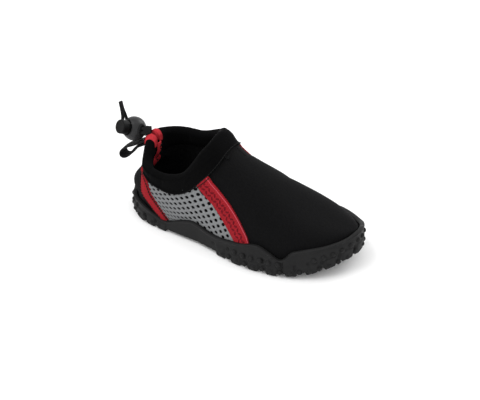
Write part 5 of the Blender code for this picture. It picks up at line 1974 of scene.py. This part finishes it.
def area_light(name, place, aim, size, power):
    """A square soft light that faces its aim."""
    data = bpy.data.lights.new(name, "AREA")
    data.shape = "SQUARE"
    data.size = size
    data.energy = power
    light = bpy.data.objects.new(name, data)
    light.location = place
    light.rotation_euler = (Vector(aim) - Vector(place)).to_track_quat("-Z", "Y").to_euler()
    bpy.context.collection.objects.link(light)


def build_stage():
    """Plain pale floor, large soft lights and the photograph's camera."""
    settings = bpy.context.scene.shoe_stage
    mesh = bpy.data.meshes.new("floor")
    corners = [(x * FLOOR_REACH, y * FLOOR_REACH, 0) for x, y in ((-1, -1), (1, -1), (1, 1), (-1, 1))]
    mesh.from_pydata(corners, [], [(0, 1, 2, 3)])
    floor = bpy.data.objects.new("floor", mesh)
    bpy.context.collection.objects.link(floor)
    material, _, _ = new_material("pale_floor", tuple(settings.floor_colour), 0.9)
    mesh.materials.append(material)

    world = bpy.data.worlds.new("studio")
    world.use_nodes = True
    sky = world.node_tree.nodes["Background"]
    sky.inputs["Color"].default_value = (1.0, 1.0, 1.0, 1.0)
    sky.inputs["Strength"].default_value = settings.sky_strength
    bpy.context.scene.world = world
    bpy.context.scene.view_settings.view_transform = "Standard"
    aim = in_frame((0.08, 0.0, 0.03))
    for light in LIGHTS:
        area_light(light.name, light.place, aim, light.size, settings.key_power * light.power)

    data = bpy.data.cameras.new("camera")
    data.sensor_fit = "HORIZONTAL"
    data.sensor_width = SENSOR_WIDTH
    data.lens = SENSOR_WIDTH * CAMERA_DISTANCE / VIEW_WIDTH
    camera = bpy.data.objects.new("camera", data)
    turn, rise = math.radians(CAMERA_AZIMUTH), math.radians(CAMERA_ELEVATION)
    back = Vector((math.sin(turn) * math.cos(rise), -math.cos(turn) * math.cos(rise), math.sin(rise)))
    target = in_frame(CAMERA_TARGET)
    camera.location = target + back * CAMERA_DISTANCE
    camera.rotation_euler = (-back).to_track_quat("-Z", "Y").to_euler()
    bpy.context.collection.objects.link(camera)
    bpy.context.scene.camera = camera


# Add-on


class ShoeOperator:
    """What every operator of this add-on shares: it builds its pieces and finishes."""

    bl_options = {"REGISTER", "UNDO"}
    builders = ()

    def execute(self, context):
        if not MATERIALS:
            make_materials()
        for build in self.builders:
            build()
        return {"FINISHED"}


class SHOE_OT_cords(ShoeOperator, bpy.types.Operator):
    """Run the elastic drawcords through the lock"""

    bl_idname = "shoe.cords"
    bl_label = "Drawcords"
    builders = (build_cords, build_sleeve)


class SHOE_OT_cord_lock(ShoeOperator, bpy.types.Operator):
    """Build the cord lock's ball, ports and push button"""

    bl_idname = "shoe.cord_lock"
    bl_label = "Cord lock"
    builders = (build_cord_lock, build_ports)


class SHOE_OT_upper(ShoeOperator, bpy.types.Operator):
    """Build the lined neoprene upper"""

    bl_idname = "shoe.upper"
    bl_label = "Upper"
    builders = (build_upper,)


class SHOE_OT_collar(ShoeOperator, bpy.types.Operator):
    """Build the padded collar, its bound ends and the heel tape"""

    bl_idname = "shoe.collar"
    bl_label = "Collar"
    builders = (build_collar, build_end_bindings, build_heel_tape)


class SHOE_OT_sides(ShoeOperator, bpy.types.Operator):
    """Build the nets, ribbons and pipings of both sides"""

    bl_idname = "shoe.sides"
    bl_label = "Side panels"
    builders = (build_sides,)


class SHOE_OT_stitching(ShoeOperator, bpy.types.Operator):
    """Sew the tapes and the collar"""

    bl_idname = "shoe.stitching"
    bl_label = "Stitching"
    builders = (build_stitching,)


class SHOE_OT_loop(ShoeOperator, bpy.types.Operator):
    """Build the webbing pull loop"""

    bl_idname = "shoe.loop"
    bl_label = "Pull loop"
    builders = (build_loop,)


class SHOE_OT_sole(ShoeOperator, bpy.types.Operator):
    """Build the rubber outsole, its tread and the insole"""

    bl_idname = "shoe.sole"
    bl_label = "Sole"
    builders = (build_outsole, build_knobs, build_tread, build_insole)


class SHOE_OT_stage(ShoeOperator, bpy.types.Operator):
    """Set up the floor, the lights and the camera"""

    bl_idname = "shoe.stage"
    bl_label = "Stage"
    builders = (build_stage,)


OPERATORS = (
    SHOE_OT_stage, SHOE_OT_cords, SHOE_OT_cord_lock, SHOE_OT_upper, SHOE_OT_collar, SHOE_OT_sides,
    SHOE_OT_stitching, SHOE_OT_loop, SHOE_OT_sole,
)
SETTINGS = {
    "shoe_fabric": FabricSettings,
    "shoe_sewing": StitchSettings,
    "shoe_rubber": RubberSettings,
    "shoe_hardware": HardwareSettings,
    "shoe_stage": StageSettings,
}


class SHOE_PT_panel(bpy.types.Panel):
    """Sizes, colours and build steps of the water shoe"""

    bl_idname = "SHOE_PT_panel"
    bl_label = "Water shoe"
    bl_space_type = "VIEW_3D"
    bl_region_type = "UI"
    bl_category = "Water shoe"

    def draw(self, context):
        for name, kind in SETTINGS.items():
            box = self.layout.box()
            for label in kind.__annotations__:
                box.prop(getattr(context.scene, name), label)
        for operator in OPERATORS:
            self.layout.operator(operator.bl_idname)


def register():
    for kind in (*SETTINGS.values(), *OPERATORS, SHOE_PT_panel):
        bpy.utils.register_class(kind)
    for name, kind in SETTINGS.items():
        setattr(bpy.types.Scene, name, PointerProperty(type=kind))


def unregister():
    for name in SETTINGS:
        delattr(bpy.types.Scene, name)
    for kind in reversed((*SETTINGS.values(), *OPERATORS, SHOE_PT_panel)):
        bpy.utils.unregister_class(kind)


def main():
    register()
    bpy.ops.shoe.stage()
    bpy.ops.shoe.cords()
    bpy.ops.shoe.cord_lock()
    bpy.ops.shoe.upper()
    bpy.ops.shoe.collar()
    bpy.ops.shoe.sides()
    bpy.ops.shoe.stitching()
    bpy.ops.shoe.loop()
    bpy.ops.shoe.sole()


if __name__ == "__main__":
    main()
